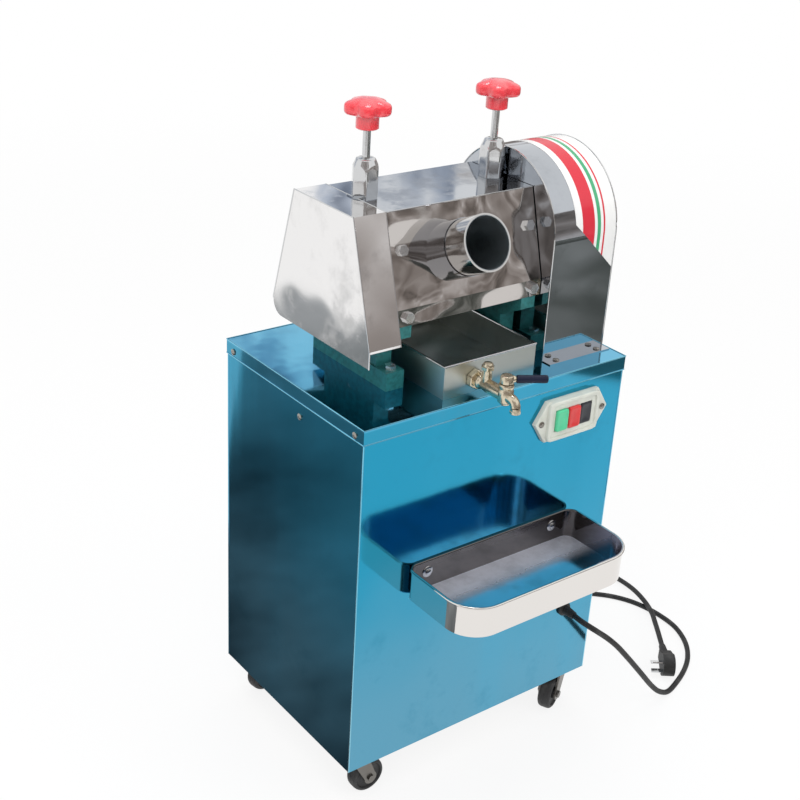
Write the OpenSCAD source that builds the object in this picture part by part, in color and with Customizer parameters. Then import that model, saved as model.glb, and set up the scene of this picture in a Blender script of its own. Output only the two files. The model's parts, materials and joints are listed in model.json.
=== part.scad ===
// Electric sugarcane juicer: a sheet cabinet on casters, a roller press head on its top cover,
// a gear housing beside it, a juice trough with a tap, and a cup tray on the front.
// Sizes are in millimetres. Modules work in the cabinet frame: x from the left edge,
// y from the front face, z from the lower edge of the cabinet.

/* [Cabinet] */
// Width across the front
cab_w = 440; // [400:5:480]
// Depth from front to rear
cab_d = 320; // [290:5:360]
// Height from the lower edge to the top cover
cab_h = 525; // [480:5:580]
// Thickness of the stainless sheet
sheet = 1.5; // [1:0.1:2.5]
// Thickness of the base plate
base_t = 3; // [2:0.5:5]
// Height of the top cover's skirt
skirt_h = 20; // [12:1:30]
// Thickness of the skirt
skirt_t = 1.2; // [0.8:0.1:2]
// Length of a cooling slot in the rear panel
vent_l = 90; // [50:5:130]
// Distance between cooling slots
vent_pitch = 16; // [12:1:24]
// Lowest cooling slot above the lower edge
vent_z = 110; // [60:5:180]
// Cooling slots in each column
vent_rows = 8; // [3:1:12]
// Side panel screw from the front
side_screw_y = 139.5; // [100:0.5:200]
// Side panel screw below the top
side_screw_drop = 41; // [34:1:80]

/* [Casters] */
// Height of a caster under the cabinet
caster_h = 66; // [60:1:75]
// Wheel diameter
wheel_d = 52; // [44:1:58]
// Wheel width
wheel_w = 20; // [16:1:24]
// Hub diameter in the recess
wheel_hub_d = 18; // [12:1:24]
// Horizontal distance from swivel to axle
caster_trail = 18; // [12:1:24]
// Swivel axis inset from the cabinet's sides
caster_in_x = 30; // [26:1:60]
// Swivel axis inset from front and rear
caster_in_y = 26; // [24:1:60]
// Side of the square caster plate
caster_plate = 46; // [40:1:60]
// Thickness of the caster plate
caster_plate_t = 3; // [2:0.5:4]
// Diameter of the swivel race
race_d = 32; // [26:1:36]
// Diameter of the swivel rivet
rivet_d = 8; // [6:0.5:10]
// Thickness of the fork's sheet
fork_t = 3; // [2:0.5:4]
// Radius of the leg's rounded end
fork_end_r = 10; // [8:0.5:12]
// Axle diameter
axle_d = 6; // [5:0.5:8]
// Swivel angle of the front left caster
swivel_fl = 0; // [0:5:355]
// Swivel angle of the front right caster
swivel_fr = 205; // [0:5:355]
// Swivel angle of the rear left caster
swivel_rl = 10; // [0:5:355]
// Swivel angle of the rear right caster
swivel_rr = 190; // [0:5:355]

/* [Fasteners] */
// Panel screw shank diameter
screw_d = 3.5; // [3:0.5:5]
// Panel screw head diameter
screw_head_d = 9; // [7:0.5:11]
// Panel screw head height
screw_head_h = 2.6; // [1.5:0.1:4]
// Panel screw shank length
screw_l = 9; // [6:1:12]
// Hex bolt shank diameter
bolt_d = 8; // [6:1:10]
// Hex bolt head across flats
bolt_af = 13; // [10:1:17]
// Hex bolt head height
bolt_head_h = 5.3; // [4:0.1:7]

/* [Cup tray] */
// Left edge of the tray
tray_x = 78; // [60:1:100]
// Width of the tray
tray_w = 293; // [250:1:320]
// Depth of the tray
tray_d = 132; // [110:1:150]
// Height of the tray's wall
tray_h = 45; // [30:1:60]
// Height of the tray's floor above the lower edge of the cabinet
tray_z = 261; // [220:1:300]
// Thickness of the tray's sheet
tray_t = 1.2; // [0.8:0.1:2]
// Outer radius of the front corners
tray_front_r = 45; // [30:1:60]
// Outer radius of the rear corners
tray_rear_r = 16; // [4:1:20]
// Distance between the two tray screws
tray_screw_span = 222; // [180:2:250]

/* [Switch] */
// Middle of the switch plate from the right edge
switch_in = 96; // [80:1:120]
// Middle of the switch plate below the top
switch_drop = 64; // [58:1:100]
// Length of the plate from tip to tip
switch_l = 133; // [110:1:150]
// Length of the plate's straight edges
switch_edge = 94; // [80:1:110]
// Height of the plate
switch_h = 60; // [50:1:70]
// Thickness of the plate's rim
switch_t = 7; // [4:0.5:10]
// Height of the raised middle over the ears
switch_rise = 5; // [3:0.5:8]
// Width of the raised rim around the buttons
switch_margin = 6; // [4:0.5:8]
// Depth of the recess around the buttons
switch_recess = 2.5; // [1:0.5:4]
// Wall thickness of the plate
switch_wall = 2.5; // [2:0.5:4]
// Button width
button_w = 21; // [16:0.5:24]
// Button height
button_h = 31; // [26:0.5:40]
// Distance between button centres
button_pitch = 22.5; // [18:0.5:26]
// How far the green and red buttons stand out
button_out = 4; // [2:0.5:6]
// How far the black button stands out
button_low = 1.5; // [0.5:0.5:4]
// Distance of the plate's screws from its centre
switch_screw_x = 56; // [50:1:62]

/* [Press head] */
// Middle of the head from the front face
head_y = 157.5; // [140:0.5:175]
// Height of the head above the top cover
head_h = 232; // [210:1:250]
// Half depth of the head at its top
head_top_half = 63.5; // [50:0.5:80]
// Half depth of the head at its lower corners
head_low_half = 108; // [90:0.5:125]
// Height of the head's lower corners above the top cover
head_low_h = 75; // [70:1:85]
// Height of the left cover's face above the top cover
cap_low_h = 52; // [45:1:65]
// Height of the left cover's flange above the top cover
cap_flange_h = 72; // [60:1:74]
// Left face of the left cover
cap_x = 38; // [20:1:60]
// Width of the left cover's flange
cap_w = 48; // [30:1:70]
// Thickness of the left cover's sheet
cap_t = 1.2; // [0.8:0.1:2]
// Height of the bend near the front cover's lower edge
fold_h = 115; // [108:1:125]
// Height of the front cover's lower edge above the top cover
front_low_h = 92; // [86:1:98]
// Left frame's middle plane
frame_left = 100; // [90:1:115]
// Gap between the right frame and the gear housing
frame_gap = 7; // [3:0.5:12]
// Thickness of a frame casting
frame_t = 24; // [18:1:30]
// Gap between frame top and top plate's upper face
frame_drop = 5; // [3:0.5:10]
// Width of a frame's foot bar
foot_w = 28; // [24:1:34]
// Height of a frame's foot bar
foot_h = 25; // [18:1:32]
// Half length of a frame's foot bar
foot_half = 83; // [70:1:95]
// Foot bolt shank length
foot_bolt_l = 32; // [28:1:45]
// Width of the bearing block's window
window_w = 52; // [44:1:60]
// Distance from the window's top to the frame's top
window_bridge = 14; // [10:1:20]
// Tie bar diameter
tie_d = 16; // [12:1:20]
// Half distance between the upper tie bars
tie_half = 45; // [40:1:50]
// Height of the lower tie bar above the top cover
tie_low_h = 67; // [62:1:70]
// Distance of the lower tie bar behind the head's middle
tie_low_y = 46; // [40:1:50]
// Depth of the upper tie bars' axes below the head's top
tie_drop = 22; // [18:1:26]
// Half depth of a frame's leg
leg_half = 57; // [50:1:60]
// Height of a frame's leg above the top cover
leg_h = 55; // [45:1:65]
// Height of the upper cover bolts above the top cover
cover_bolt_high_h = 185; // [170:1:200]
// Height of the lower cover bolts above the top cover
cover_bolt_low_h = 104; // [102:1:106]
// Cover bolt shank length
cover_bolt_l = 16; // [10:1:24]
// Distance of the bagasse opening from the left frame
outlet_left = 20; // [5:1:40]
// Distance of the bagasse opening from the right frame
outlet_right = 13; // [5:1:40]
// Height of the bagasse opening's lower edge above the top cover
outlet_low_h = 93; // [86:1:110]
// Height of the bagasse opening's upper edge above the top cover
outlet_high_h = 175; // [160:1:190]
// Reach of the chute behind the opening
chute_out = 48; // [30:1:60]
// Drop of the chute's end
chute_drop = 30; // [15:1:45]
// Height of the chute's cheeks
chute_cheek = 26; // [15:1:40]

/* [Feed tube] */
// Middle of the feed tube from the left frame
feed_side = 65; // [50:1:110]
// Height where the feed tube meets the front cover
feed_h = 173; // [160:1:185]
// Upward tilt of the feed tube
feed_tilt = 25; // [10:1:35]
// Outer diameter of the tube's mouth
feed_d = 72; // [60:1:80]
// Wall thickness of the tube
feed_wall = 2; // [1.5:0.1:3]
// Step from the mouth down to the part inside the sleeve
feed_step = 1; // [0.5:0.1:2]
// Length of the tube outside the cover
feed_l = 78; // [60:1:100]
// Length of the sleeve outside the cover
sleeve_l = 39; // [30:1:50]
// Wall thickness of the sleeve
sleeve_wall = 2; // [1.5:0.1:3]
// Length of tube and sleeve behind the cover
feed_in = 6; // [4:1:12]

/* [Rollers and gears] */
// Height of the upper roller's axis above the top cover
roller_h = 165; // [155:1:170]
// Drop from upper to lower roller axes
roller_drop = 50; // [46:0.5:54]
// Half distance between the lower rollers' axes
roller_half = 39; // [36:0.5:44]
// Roller diameter
roller_d = 62; // [56:0.5:63]
// Distance of the rollers' working length from the left frame
roller_left = 26; // [10:1:36]
// Distance of the rollers' working length from the right frame
roller_right = 13; // [8:1:30]
// Flutes around a roller
roller_flutes = 18; // [12:1:24]
// Radius of a flute
flute_r = 1.6; // [1:0.1:2.5]
// Shaft diameter of the rollers
shaft_d = 24; // [20:1:28]
// Height of a bearing block
block_h = 52; // [44:1:56]
// Wall thickness of the lower bushes
bush_wall = 4; // [3:0.5:6]
// Radial clearance of running fits
fit = 0.05; // [0.02:0.01:0.1]
// Gear module
gear_m = 3; // [2:0.5:3]
// Teeth of a roller gear
gear_n = 21; // [17:1:25]
// Teeth of the bull gear
bull_n = 57; // [45:1:60]
// Teeth of the pinion
pinion_n = 13; // [12:1:17]
// Gear width
gear_w = 20; // [14:1:24]
// Distance of the roller gears from the housing's left face
gear_side = 5; // [3:0.5:9]
// Gap between the roller gears and the bull gear
gear_gap = 6; // [3:0.5:10]
// Tooth height above the pitch circle in modules
tooth_add_share = 0.7; // [0.5:0.05:1]
// Tooth depth below the pitch circle in modules
tooth_ded_share = 1.1; // [0.9:0.05:1.3]
// Tooth width at the tip in pitches
tooth_tip_share = 0.2; // [0.15:0.01:0.3]
// Tooth width at the root in pitches
tooth_root_share = 0.6; // [0.5:0.01:0.7]
// Jackshaft diameter
jack_d = 20; // [16:1:24]
// Outer diameter of the jackshaft's boss
jack_boss_d = 36; // [30:1:44]
// Length of the jackshaft's boss beyond the frame
jack_boss_l = 31; // [24:1:34]

/* [Gear housing] */
// Distance of the housing from the cabinet's right edge
house_in = 2; // [0:0.5:10]
// Width of the housing
house_w = 112; // [100:1:113]
// Middle of the housing from the front face
house_y = 149; // [140:1:160]
// Half depth of the housing, also the radius of its arched top
house_r = 106; // [100:1:112]
// Depth of the housing's foot flange
flange_d = 16; // [12:1:22]

/* [Drive] */
// Distance of the pulleys' middle plane from the housing's right face
pulley_in = 23; // [18:1:26]
// Belt pitch radius on the large pulley
pulley_r = 80; // [70:1:84]
// Belt pitch radius on the motor pulley
motor_pulley_r = 28; // [24:1:34]
// Belt width
belt_w = 12; // [10:0.5:14]
// Belt thickness
belt_t = 8; // [6:0.5:10]
// Thickness of a pulley's flange
pulley_flange = 5; // [4:0.5:7]
// Thickness of the large pulley's rim below the groove
pulley_rim = 8; // [6:1:12]
// Thickness of the large pulley's web
pulley_web = 8; // [6:1:12]
// Hub diameter of the large pulley
pulley_hub_d = 44; // [34:1:54]
// Half length of the belt slot in the top cover
slot_half = 86; // [80:1:90]
// Width of the belt slot in the top cover
slot_w = 32; // [28:1:36]
// Height of the motor's axis above the base plate
motor_z = 92; // [85:1:110]
// Motor diameter
motor_d = 144; // [120:2:160]
// Motor length
motor_l = 230; // [180:5:260]
// Gap between the motor and its pulley
motor_gap = 18; // [10:1:30]
// Motor shaft diameter
motor_shaft_d = 18; // [14:1:22]
// Length of the motor shaft in the motor
motor_shaft_in = 25; // [20:1:30]
// Width of the motor's foot
motor_foot_w = 150; // [120:2:170]
// Length of the motor's foot
motor_foot_l = 150; // [120:2:180]
// Thickness of the motor's foot
motor_foot_t = 12; // [8:1:16]
// Width of the motor's pedestal
motor_neck_w = 90; // [70:2:110]
// Motor bolt shank length
motor_bolt_l = 14; // [12:1:18]
// Side of the motor's terminal box
terminal_side = 70; // [50:2:90]
// Height of the terminal box above the motor
terminal_h = 28; // [20:1:40]

/* [Adjusters] */
// Hex sleeve across flats
sleeve_af = 31.5; // [27:0.5:36]
// Hex sleeve height
sleeve_h = 50; // [40:1:60]
// Screw diameter
screw_stem_d = 10; // [8:1:12]
// Height of the left knob's underside above the head
knob_rise = 86.5; // [70:0.5:95]
// Height of the right knob above the left one
knob_raise = 3.5; // [0:0.5:8]
// Underside of the knob's lobes above the hub's underside
knob_skirt = 18; // [12:1:28]
// Height of the knob over all
knob_h = 38; // [34:1:52]
// Diameter over the lobes
knob_d = 60; // [50:1:70]
// Diameter of one lobe
lobe_d = 22; // [14:0.5:24]
// Number of lobes
lobe_n = 5; // [5:1:8]
// Angle of the first lobe
lobe_turn = 16; // [0:1:72]
// Diameter of the knob between its lobes
knob_core_d = 47; // [40:1:54]
// Diameter of the knob's hub
knob_hub_d = 29; // [22:1:34]
// Fall of the domed top from the middle to the lobes' ends
dome_h = 6; // [4:0.5:14]
// Depth of the screw in the knob
knob_grip = 20; // [12:1:28]

/* [Juice trough and tap] */
// Gap between the trough and the left frame
trough_left = 22; // [16:1:30]
// Gap between the trough and the right frame
trough_right = 8; // [5:1:30]
// Front of the trough
trough_y = 18; // [10:1:25]
// Length of the trough
trough_l = 205; // [180:5:225]
// Height of the trough
trough_h = 45; // [38:1:50]
// Thickness of the trough's sheet
trough_t = 1.2; // [0.8:0.1:2]
// Height of the trough's floor over its lower edge
trough_floor = 5; // [3:0.5:9]
// Tap from the trough's left side
tap_side = 49; // [30:1:100]
// Height of the tap's axis above the top cover
tap_z = 20; // [15:1:24]
// Diameter of the tap's threaded shank
shank_d = 16; // [12:1:18]
// Length of the shank behind the trough's front
shank_in = 12; // [8:1:16]
// Across flats of the tap's collar
collar_af = 24; // [20:1:28]
// Thickness of the tap's collar
collar_t = 9; // [6:1:12]
// Diameter of the tap's barrel
barrel_d = 18; // [15:1:22]
// Distance of the upright boss from the trough's front
boss_out = 25; // [20:1:28]
// Diameter of the upright boss
boss_d = 14; // [10:1:18]
// Height of the upright boss above the tap's axis
boss_h = 31; // [20:1:36]
// Across flats of the upright boss's cap
boss_cap_af = 16; // [13:1:20]
// Distance of the valve from the trough's front
valve_out = 62; // [52:1:68]
// Diameter of the valve chest
valve_d = 20; // [18:1:26]
// Height of the valve chest above the tap's axis
valve_up = 17; // [12:1:20]
// Depth of the valve chest below the tap's axis
valve_down = 12; // [9:1:16]
// Bore of the tap
tap_bore = 8; // [6:0.5:10]
// Diameter of the valve's turning plug
plug_d = 13; // [11:0.5:15]
// Outer diameter of the spout
spout_d = 14; // [11:0.5:16]
// Bend radius of the spout's middle line
spout_bend = 10; // [9:1:18]
// Length of the spout's straight end
spout_end = 6; // [4:1:20]
// Diameter of the lever's hub
hub_d = 17; // [14:0.5:20]
// Height of the lever's hub
hub_h = 11; // [8:0.5:14]
// Diameter of the lever's arm
arm_d = 6; // [5:0.5:8]
// Reach of the lever from the plug's axis
lever_l = 52; // [45:1:75]
// Diameter of the lever's grip
grip_d = 10.5; // [8:0.5:14]
// Start of the grip from the plug's axis
grip_start = 12; // [9:1:20]
// Turn of the lever from the cabinet's width towards the front
lever_turn = 30; // [0:1:45]

/* [Cord and plug] */
// Cord diameter
cord_d = 8.4; // [7:0.1:9]
// Gland from the right edge
gland_in = 58; // [40:1:80]
// Gland above the lower edge
gland_z = 129; // [110:1:150]
// Diameter of the gland's flange
gland_d = 22; // [18:1:26]
// Thickness of the gland's flange
gland_t = 5; // [3:0.5:8]
// Diameter of the gland's neck in the panel
gland_neck_d = 15; // [12:0.5:18]
// Length of the gland's neck behind the panel
gland_neck_l = 8; // [5:1:12]
// Length of the strain relief over all
relief_l = 24; // [20:1:40]
// Diameter of the strain relief at the gland
relief_d = 14; // [12:0.5:18]
// Plug body length
plug_l = 48; // [40:1:55]
// Plug body width
plug_w = 36; // [30:1:40]
// Plug body thickness
plug_t = 19; // [15:1:24]
// Length of the plug's strain relief
boot_l = 20; // [20:1:30]
// Plug pin length
pin_l = 17; // [14:1:20]
// Plug pin width
pin_w = 6.4; // [5:0.1:7]
// Plug pin thickness
pin_t = 1.8; // [1.5:0.1:2.5]
// Distance of the slanted pins from the plug face's middle
pin_side = 7.9; // [6:0.1:9]
// Distance of the straight pin from the slanted pins' line
pin_drop = 12; // [9:0.5:14]
// Slant of the paired pins
pin_slant = 30; // [0:5:45]
// Distance of the slanted pins from the plug's cord end
pin_from = 36; // [28:1:40]

/* [Hidden] */
$fn = 64;
cut = 2;
half = 1 / 2;
quarter_turn = 90;
half_turn = 180;
full_turn = 360;
flat_sides = 6;
turn_flats = 30;
cord_sides = 10;
skirt_gap = 0.3;
vent_h = 6;
rivet_head_d = 14;
rivet_head_h = 2;
fork_gap = 1;
axle_head_d = 11;
axle_head_h = 3;
hole_gap = 0.2;
wheel_dish = 3;
wheel_rim = 6;
button_gap = 0.4;
button_lip_t = 2;
button_lip = 1.2;
belt_gap = 0.4;
pulley_lip = 1;
hub_gap = 0.4;
relief_wall = 1.3;
tip_gap = 0.4;
bridge_gap = 2;
house_gap = 4;
feed_groove = 2;
race_h = 4;
tray_screw_z = 26;
rim_over = 1.6;
cover_gap = 1.2;
rim_h = 4;
shaft_out = 6;
motor_bolt_in = 14;
foot_bolt_in = 11;
flange_screw_in = 18;
cap_lap = 12;
boss_cap_h = 9;
plug_down = 8;
skirt_screw_in = 16.5;
skirt_screw_up = 7;
rear_screw_in = 20;
rear_screw_drop = 40;
cover_bolt_side = 4;
chute_lift = 8;
lid_over = skirt_t + skirt_gap;
front_y = -(cab_d + screw_head_h - tray_d) / 2;
panel_h = cab_h - sheet;
screw_hole = screw_d + 2 * hole_gap;
bolt_hole = bolt_d + 2 * hole_gap;
bolt_w = bolt_af / cos(turn_flats);
sleeve_w = sleeve_af / cos(turn_flats);
switch_x = cab_w - switch_in;
switch_z = cab_h - switch_drop;
button_face = switch_t + switch_rise - switch_recess;
house_x = cab_w - house_in - house_w;
frame_right = house_x - frame_gap - frame_t / 2;
inner_left = frame_left + frame_t / 2;
inner_right = frame_right - frame_t / 2;
head_top = cab_h + head_h;
head_low = cab_h + head_low_h;
cap_low = cab_h + cap_low_h;
cap_flange = cab_h + cap_flange_h;
fold_z = cab_h + fold_h;
front_low = cab_h + front_low_h;
tie_low = cab_h + tie_low_h;
tie_high = head_top - tie_drop;
leg_top = cab_h + leg_h;
cover_bolt_high = cab_h + cover_bolt_high_h;
cover_bolt_low = cab_h + cover_bolt_low_h;
outlet_x = inner_left + outlet_left;
outlet_w = inner_right - outlet_right - outlet_x;
outlet_low = cab_h + outlet_low_h;
outlet_high = cab_h + outlet_high_h;
outlet_lift = outlet_low + chute_lift;
cover_slope = (head_low_half - head_top_half) / (head_top - head_low);
cover_tilt = atan(cover_slope);
cover_ty = sheet / cos(cover_tilt);
cap_ty = cap_t / cos(cover_tilt);
cover_x = cap_x + cap_w - cap_lap;
cover_w = house_x - cover_gap - cover_x;
feed_x = inner_left + feed_side;
feed_z = cab_h + feed_h;
feed_r = feed_d / 2;
feed_pipe_r = feed_r - feed_step;
feed_bore_r = feed_pipe_r - feed_wall;
roller_high = cab_h + roller_h;
roller_x = inner_left + roller_left;
roller_l = inner_right - roller_right - roller_x;
lower_axis = roller_high - roller_drop;
mesh_r = sqrt(roller_half * roller_half + roller_drop * roller_drop) / 2;
front_dir = atan2(-roller_drop, -roller_half);
rear_dir = atan2(-roller_drop, roller_half);
gear_x = house_x + gear_side;
bull_x = gear_x + gear_w + gear_gap;
jack_axis = roller_high - gear_m * (bull_n + pinion_n) / 2;
frame_top = head_top - frame_drop;
window_top = frame_top - window_bridge;
window_low = roller_high - block_h / 2;
block_top = roller_high + block_h / 2;
pulley_w = belt_w + 2 * belt_gap + 2 * pulley_flange;
pulley_x = house_x + house_w - pulley_in;
motor_end = pulley_x - pulley_w / 2 - motor_gap;
motor_axis = base_t + motor_z;
belt_steps = 36;
belt_lean = asin((pulley_r - motor_pulley_r) / (jack_axis - motor_axis));
knob_z = head_top + knob_rise;
knob_r = knob_d / 2;
dome_r = (knob_r * knob_r + dome_h * dome_h) / (2 * dome_h);
axle_z = wheel_d / 2 - caster_h;
crown_top = -caster_plate_t - race_h - skirt_gap;
crown_low = crown_top - fork_t;
leg_y = wheel_w / 2 + fork_gap;
trough_x = inner_left + trough_left;
trough_w = inner_right - trough_right - trough_x;
tap_x = trough_x + tap_side;
tap_axis = cab_h + tap_z;
valve_y = trough_y - valve_out;
arm_up = valve_up + hub_gap + hub_h / 2;
gland_x = cab_w - gland_in;
plug_mid = plug_w / 2 - caster_h;
plug_entry = [640, 10, plug_mid];
plug_turn = atan2(-4, -3);
// Middle line of the cord between gland and plug: x, y and the height of its underside
route = [
  [382, -38, 190],
  [386, -52, 187],
  [395, -63, 180],
  [409, -70, 168],
  [428, -73, 149],
  [450, -73, 124],
  [474, -72, 96],
  [500, -71, 65],
  [525, -71, 35],
  [548, -70, 13],
  [574, -67, 0],
  [604, -58, 0],
  [634, -45, 0],
  [662, -28, 0],
  [686, -6, 0],
  [704, 20, 0],
  [716, 50, 0],
  [719, 82, 0],
  [716, 114, 0],
  [707, 145, 0],
  [690, 174, 0],
  [666, 199, 0],
  [640, 220, 0],
  [620, 246, 0],
  [618, 278, 0],
  [636, 304, 0],
  [668, 314, 0],
  [700, 303, 0],
  [723, 279, 0],
  [735, 248, 0],
  [738, 214, 1],
  [734, 180, 5],
  [725, 148, 9],
  [714, 117, 10],
  [700, 90, 11],
  [682, 66, 13],
  [664, 42, 14]
];
cord_line = concat(
  [[gland_x, -relief_l, gland_z]],
  [for (p = route) [p[0], p[1], p[2] + cord_d / 2 - caster_h]],
  [plug_entry]);
caster_spots = [
  [caster_in_x, caster_in_y, swivel_fl],
  [cab_w - caster_in_x, caster_in_y, swivel_fr],
  [caster_in_x, cab_d - caster_in_y, swivel_rl],
  [cab_w - caster_in_x, cab_d - caster_in_y, swivel_rr]
];

// Distance of the head's front face from the cabinet's front at a height
function cover_y(z) = head_y - head_top_half - cover_slope * (head_top - z);

// Same for the head's rear face
function cover_rear(z) = head_y + head_top_half + cover_slope * (head_top - z);

// Outline of a spur gear with trapezoid teeth; the first tooth points along the first axis
function gear_points(n, r, m) = [
  for (i = [0 : n - 1])
  for (k = [[-1, 0], [-1, 1], [1, 1], [1, 0]])
  let (share = k[1] == 1 ? tooth_tip_share : tooth_root_share)
  let (a = full_turn / n * (i + k[0] * share / 2))
  let (q = r + m * (k[1] == 1 ? tooth_add_share : -tooth_ded_share))
  [q * cos(a), q * sin(a)]
];

// Angle of the first tooth of a gear that meshes with another one in direction dir
function mate_phase(dir, phase, n1, n2) =
  dir + half_turn + ((dir - phase) * n1 / full_turn + half) * full_turn / n2;

// Unit vector
function unit(v) = v / norm(v);

// Point of a Catmull-Rom span at share t
function span(a, b, c, d, t) =
  (2 * b + (c - a) * t + (2 * a - 5 * b + 4 * c - d) * t * t
  + (3 * b - a - 3 * c + d) * t * t * t) / 2;

// Middle line of a route with two points a span
function curve(p) = concat(
  [for (i = [0 : len(p) - 2])
  for (t = [0, half])
  span(p[max(i - 1, 0)], p[i], p[i + 1], p[min(i + 2, len(p) - 1)], t)],
  [p[len(p) - 1]]);

// Direction of a line at one of its points
function heading(p, i) =
  i == 0 ? unit(p[1] - p[0])
  : i == len(p) - 1 ? unit(p[i] - p[i - 1])
  : unit(p[i + 1] - p[i - 1]);

// First side vector of a ring, kept level
function level(t) = unit(cross(t, [0, 0, 1]));

// Corners of a tube's rings
function rings(p, r) = [
  for (i = [0 : len(p) - 1])
  let (t = heading(p, i))
  let (u = level(t))
  let (w = cross(u, t))
  for (k = [0 : cord_sides - 1])
  let (a = full_turn * k / cord_sides)
  p[i] + r * (cos(a) * u + sin(a) * w)
];

// Faces of a tube with closed ends
function tube_faces(n) = concat(
  [[for (k = [0 : cord_sides - 1]) k]],
  [[for (k = [0 : cord_sides - 1]) n * cord_sides - 1 - k]],
  [for (i = [0 : n - 2])
  for (k = [0 : cord_sides - 1])
  let (j = (k + 1) % cord_sides)
  [i * cord_sides + j, i * cord_sides + k, (i + 1) * cord_sides + k, (i + 1) * cord_sides + j]]);

// Cabinet frame to object frame
module at_cabinet() {
  translate([-cab_w / 2, front_y, caster_h])
    children();
}

// Drawing plane turned so that its axes are y and z and it extrudes along x
module along_x(x = 0) {
  translate([x, 0, 0])
    rotate([quarter_turn, 0, quarter_turn])
      children();
}

// Drawing plane turned so that its axes are x and z and it extrudes towards the front
module along_front(y = 0) {
  translate([0, y, 0])
    rotate([quarter_turn, 0, 0])
      children();
}

// Round bar along x
module bar(x, y, z, d, l) {
  along_x(x)
    translate([y, z, 0])
      cylinder(d = d, h = l);
}

// Place on the front cover at a height, with the third axis leaving the head at a tilt
module on_front(x, z, tilt) {
  translate([x, cover_y(z), z])
    rotate([quarter_turn - tilt, 0, 0])
      children();
}

// Pan head screw: the head stands on the plane, the shank goes below it
module pan_screw() {
  cylinder(d = screw_head_d, h = screw_head_h / 2);
  translate([0, 0, screw_head_h / 2])
    cylinder(d1 = screw_head_d, d2 = screw_d, h = screw_head_h / 2);
  translate([0, 0, -screw_l])
    cylinder(d = screw_d, h = screw_l);
}

// Hex bolt: the head stands on the plane, the shank goes below it
module hex_bolt(l) {
  cylinder(d = bolt_w, h = bolt_head_h, $fn = flat_sides);
  translate([0, 0, -l])
    cylinder(d = bolt_d, h = l);
}

// Places of the screws in skirt, side panels and rear panel, the third axis leaving the sheet
module screw_spots() {
  skirt_z = cab_h - skirt_h + skirt_screw_up;
  for (side = [0, 1])
    translate([side * cab_w, 0, 0])
      rotate([0, (2 * side - 1) * quarter_turn, 0]) {
        for (y = [skirt_screw_in, cab_d - skirt_screw_in])
          translate([(1 - 2 * side) * skirt_z, y, lid_over])
            children();
        translate([(1 - 2 * side) * (cab_h - side_screw_drop), side_screw_y, 0])
          children();
      }
  for (x = [rear_screw_in, cab_w - rear_screw_in])
    for (z = [rear_screw_in, cab_h - rear_screw_drop])
      translate([x, cab_d, z])
        rotate([-quarter_turn, 0, 0])
          children();
}

// Places of the tray screws
module tray_spots() {
  for (s = [-1, 1])
    along_front(-tray_t)
      translate([tray_x + tray_w / 2 + s * tray_screw_span / 2, tray_z + tray_screw_z, 0])
        children();
}

// Places of the switch plate's screws
module switch_spots() {
  for (s = [-1, 1])
    along_front(-switch_t)
      translate([switch_x + s * switch_screw_x, switch_z, 0])
        children();
}

// Places of the housing's flange screws
module flange_spots() {
  for (x = [house_x + flange_screw_in, house_x + house_w - flange_screw_in])
    for (s = [-1, 1])
      translate([x, house_y + s * (house_r + flange_d / 2), cab_h + sheet])
        children();
}

// Places of the foot bolts on the frames
module foot_spots() {
  for (x = [frame_left, frame_right])
    for (s = [-1, 1])
      translate([x, head_y + s * (foot_half - foot_bolt_in), cab_h + foot_h])
        children();
}

// Places of the front cover's bolts, the upper pair on the slope and the lower pair on the lip
module cover_spots() {
  for (x = [frame_left, frame_right]) {
    on_front(x + cover_bolt_side, cover_bolt_high, cover_tilt)
      children();
    along_front(cover_y(fold_z))
      translate([x + cover_bolt_side, cover_bolt_low, 0])
        children();
  }
}

// Places of the caster bolts above the base plate
module caster_bolt_spots() {
  reach = caster_plate / 2 - bolt_d;
  for (c = caster_spots)
    for (i = [-1, 1])
      for (j = [-1, 1])
        translate([c[0] + i * reach, c[1] + j * reach, base_t])
          children();
}

// Places of the motor bolts
module motor_bolt_spots() {
  for (i = [-1, 1])
    for (j = [-1, 1])
      translate([
        motor_end - motor_l / 2 + i * (motor_foot_l / 2 - motor_bolt_in),
        head_y + j * (motor_foot_w / 2 - motor_bolt_in),
        base_t + motor_foot_t])
        children();
}

module base_plate() {
  color("silver")
    at_cabinet()
      difference() {
        translate([sheet, sheet, 0])
          cube([cab_w - 2 * sheet, cab_d - 2 * sheet, base_t]);
        caster_bolt_spots()
          translate([0, 0, -base_t - cut])
            cylinder(d = bolt_hole, h = base_t + 2 * cut);
        motor_bolt_spots()
          translate([0, 0, -motor_foot_t - base_t - cut])
            cylinder(d = bolt_hole, h = base_t + 2 * cut);
      }
}

module front_panel() {
  color("steelblue")
    at_cabinet()
      difference() {
        cube([cab_w, sheet, panel_h]);
        along_front(sheet + cut)
          translate([gland_x, gland_z, 0])
            cylinder(d = gland_neck_d, h = sheet + 2 * cut);
        along_front(sheet + cut)
          switch_field(3 * button_pitch, button_h + 2 * button_lip + 2 * button_gap,
            sheet + 2 * cut);
        tray_spots()
          translate([0, 0, -screw_l])
            cylinder(d = screw_hole, h = screw_l);
        switch_spots()
          translate([0, 0, -screw_l])
            cylinder(d = screw_hole, h = screw_l);
      }
}

module side_sheet(x) {
  at_cabinet()
    difference() {
      translate([x, sheet, 0])
        cube([sheet, cab_d - 2 * sheet, panel_h]);
      screw_spots()
        translate([0, 0, -screw_l])
          cylinder(d = screw_hole, h = screw_l);
    }
}

module left_panel() {
  color("steelblue")
    side_sheet(0);
}

module right_panel() {
  color("steelblue")
    side_sheet(cab_w - sheet);
}

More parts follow.
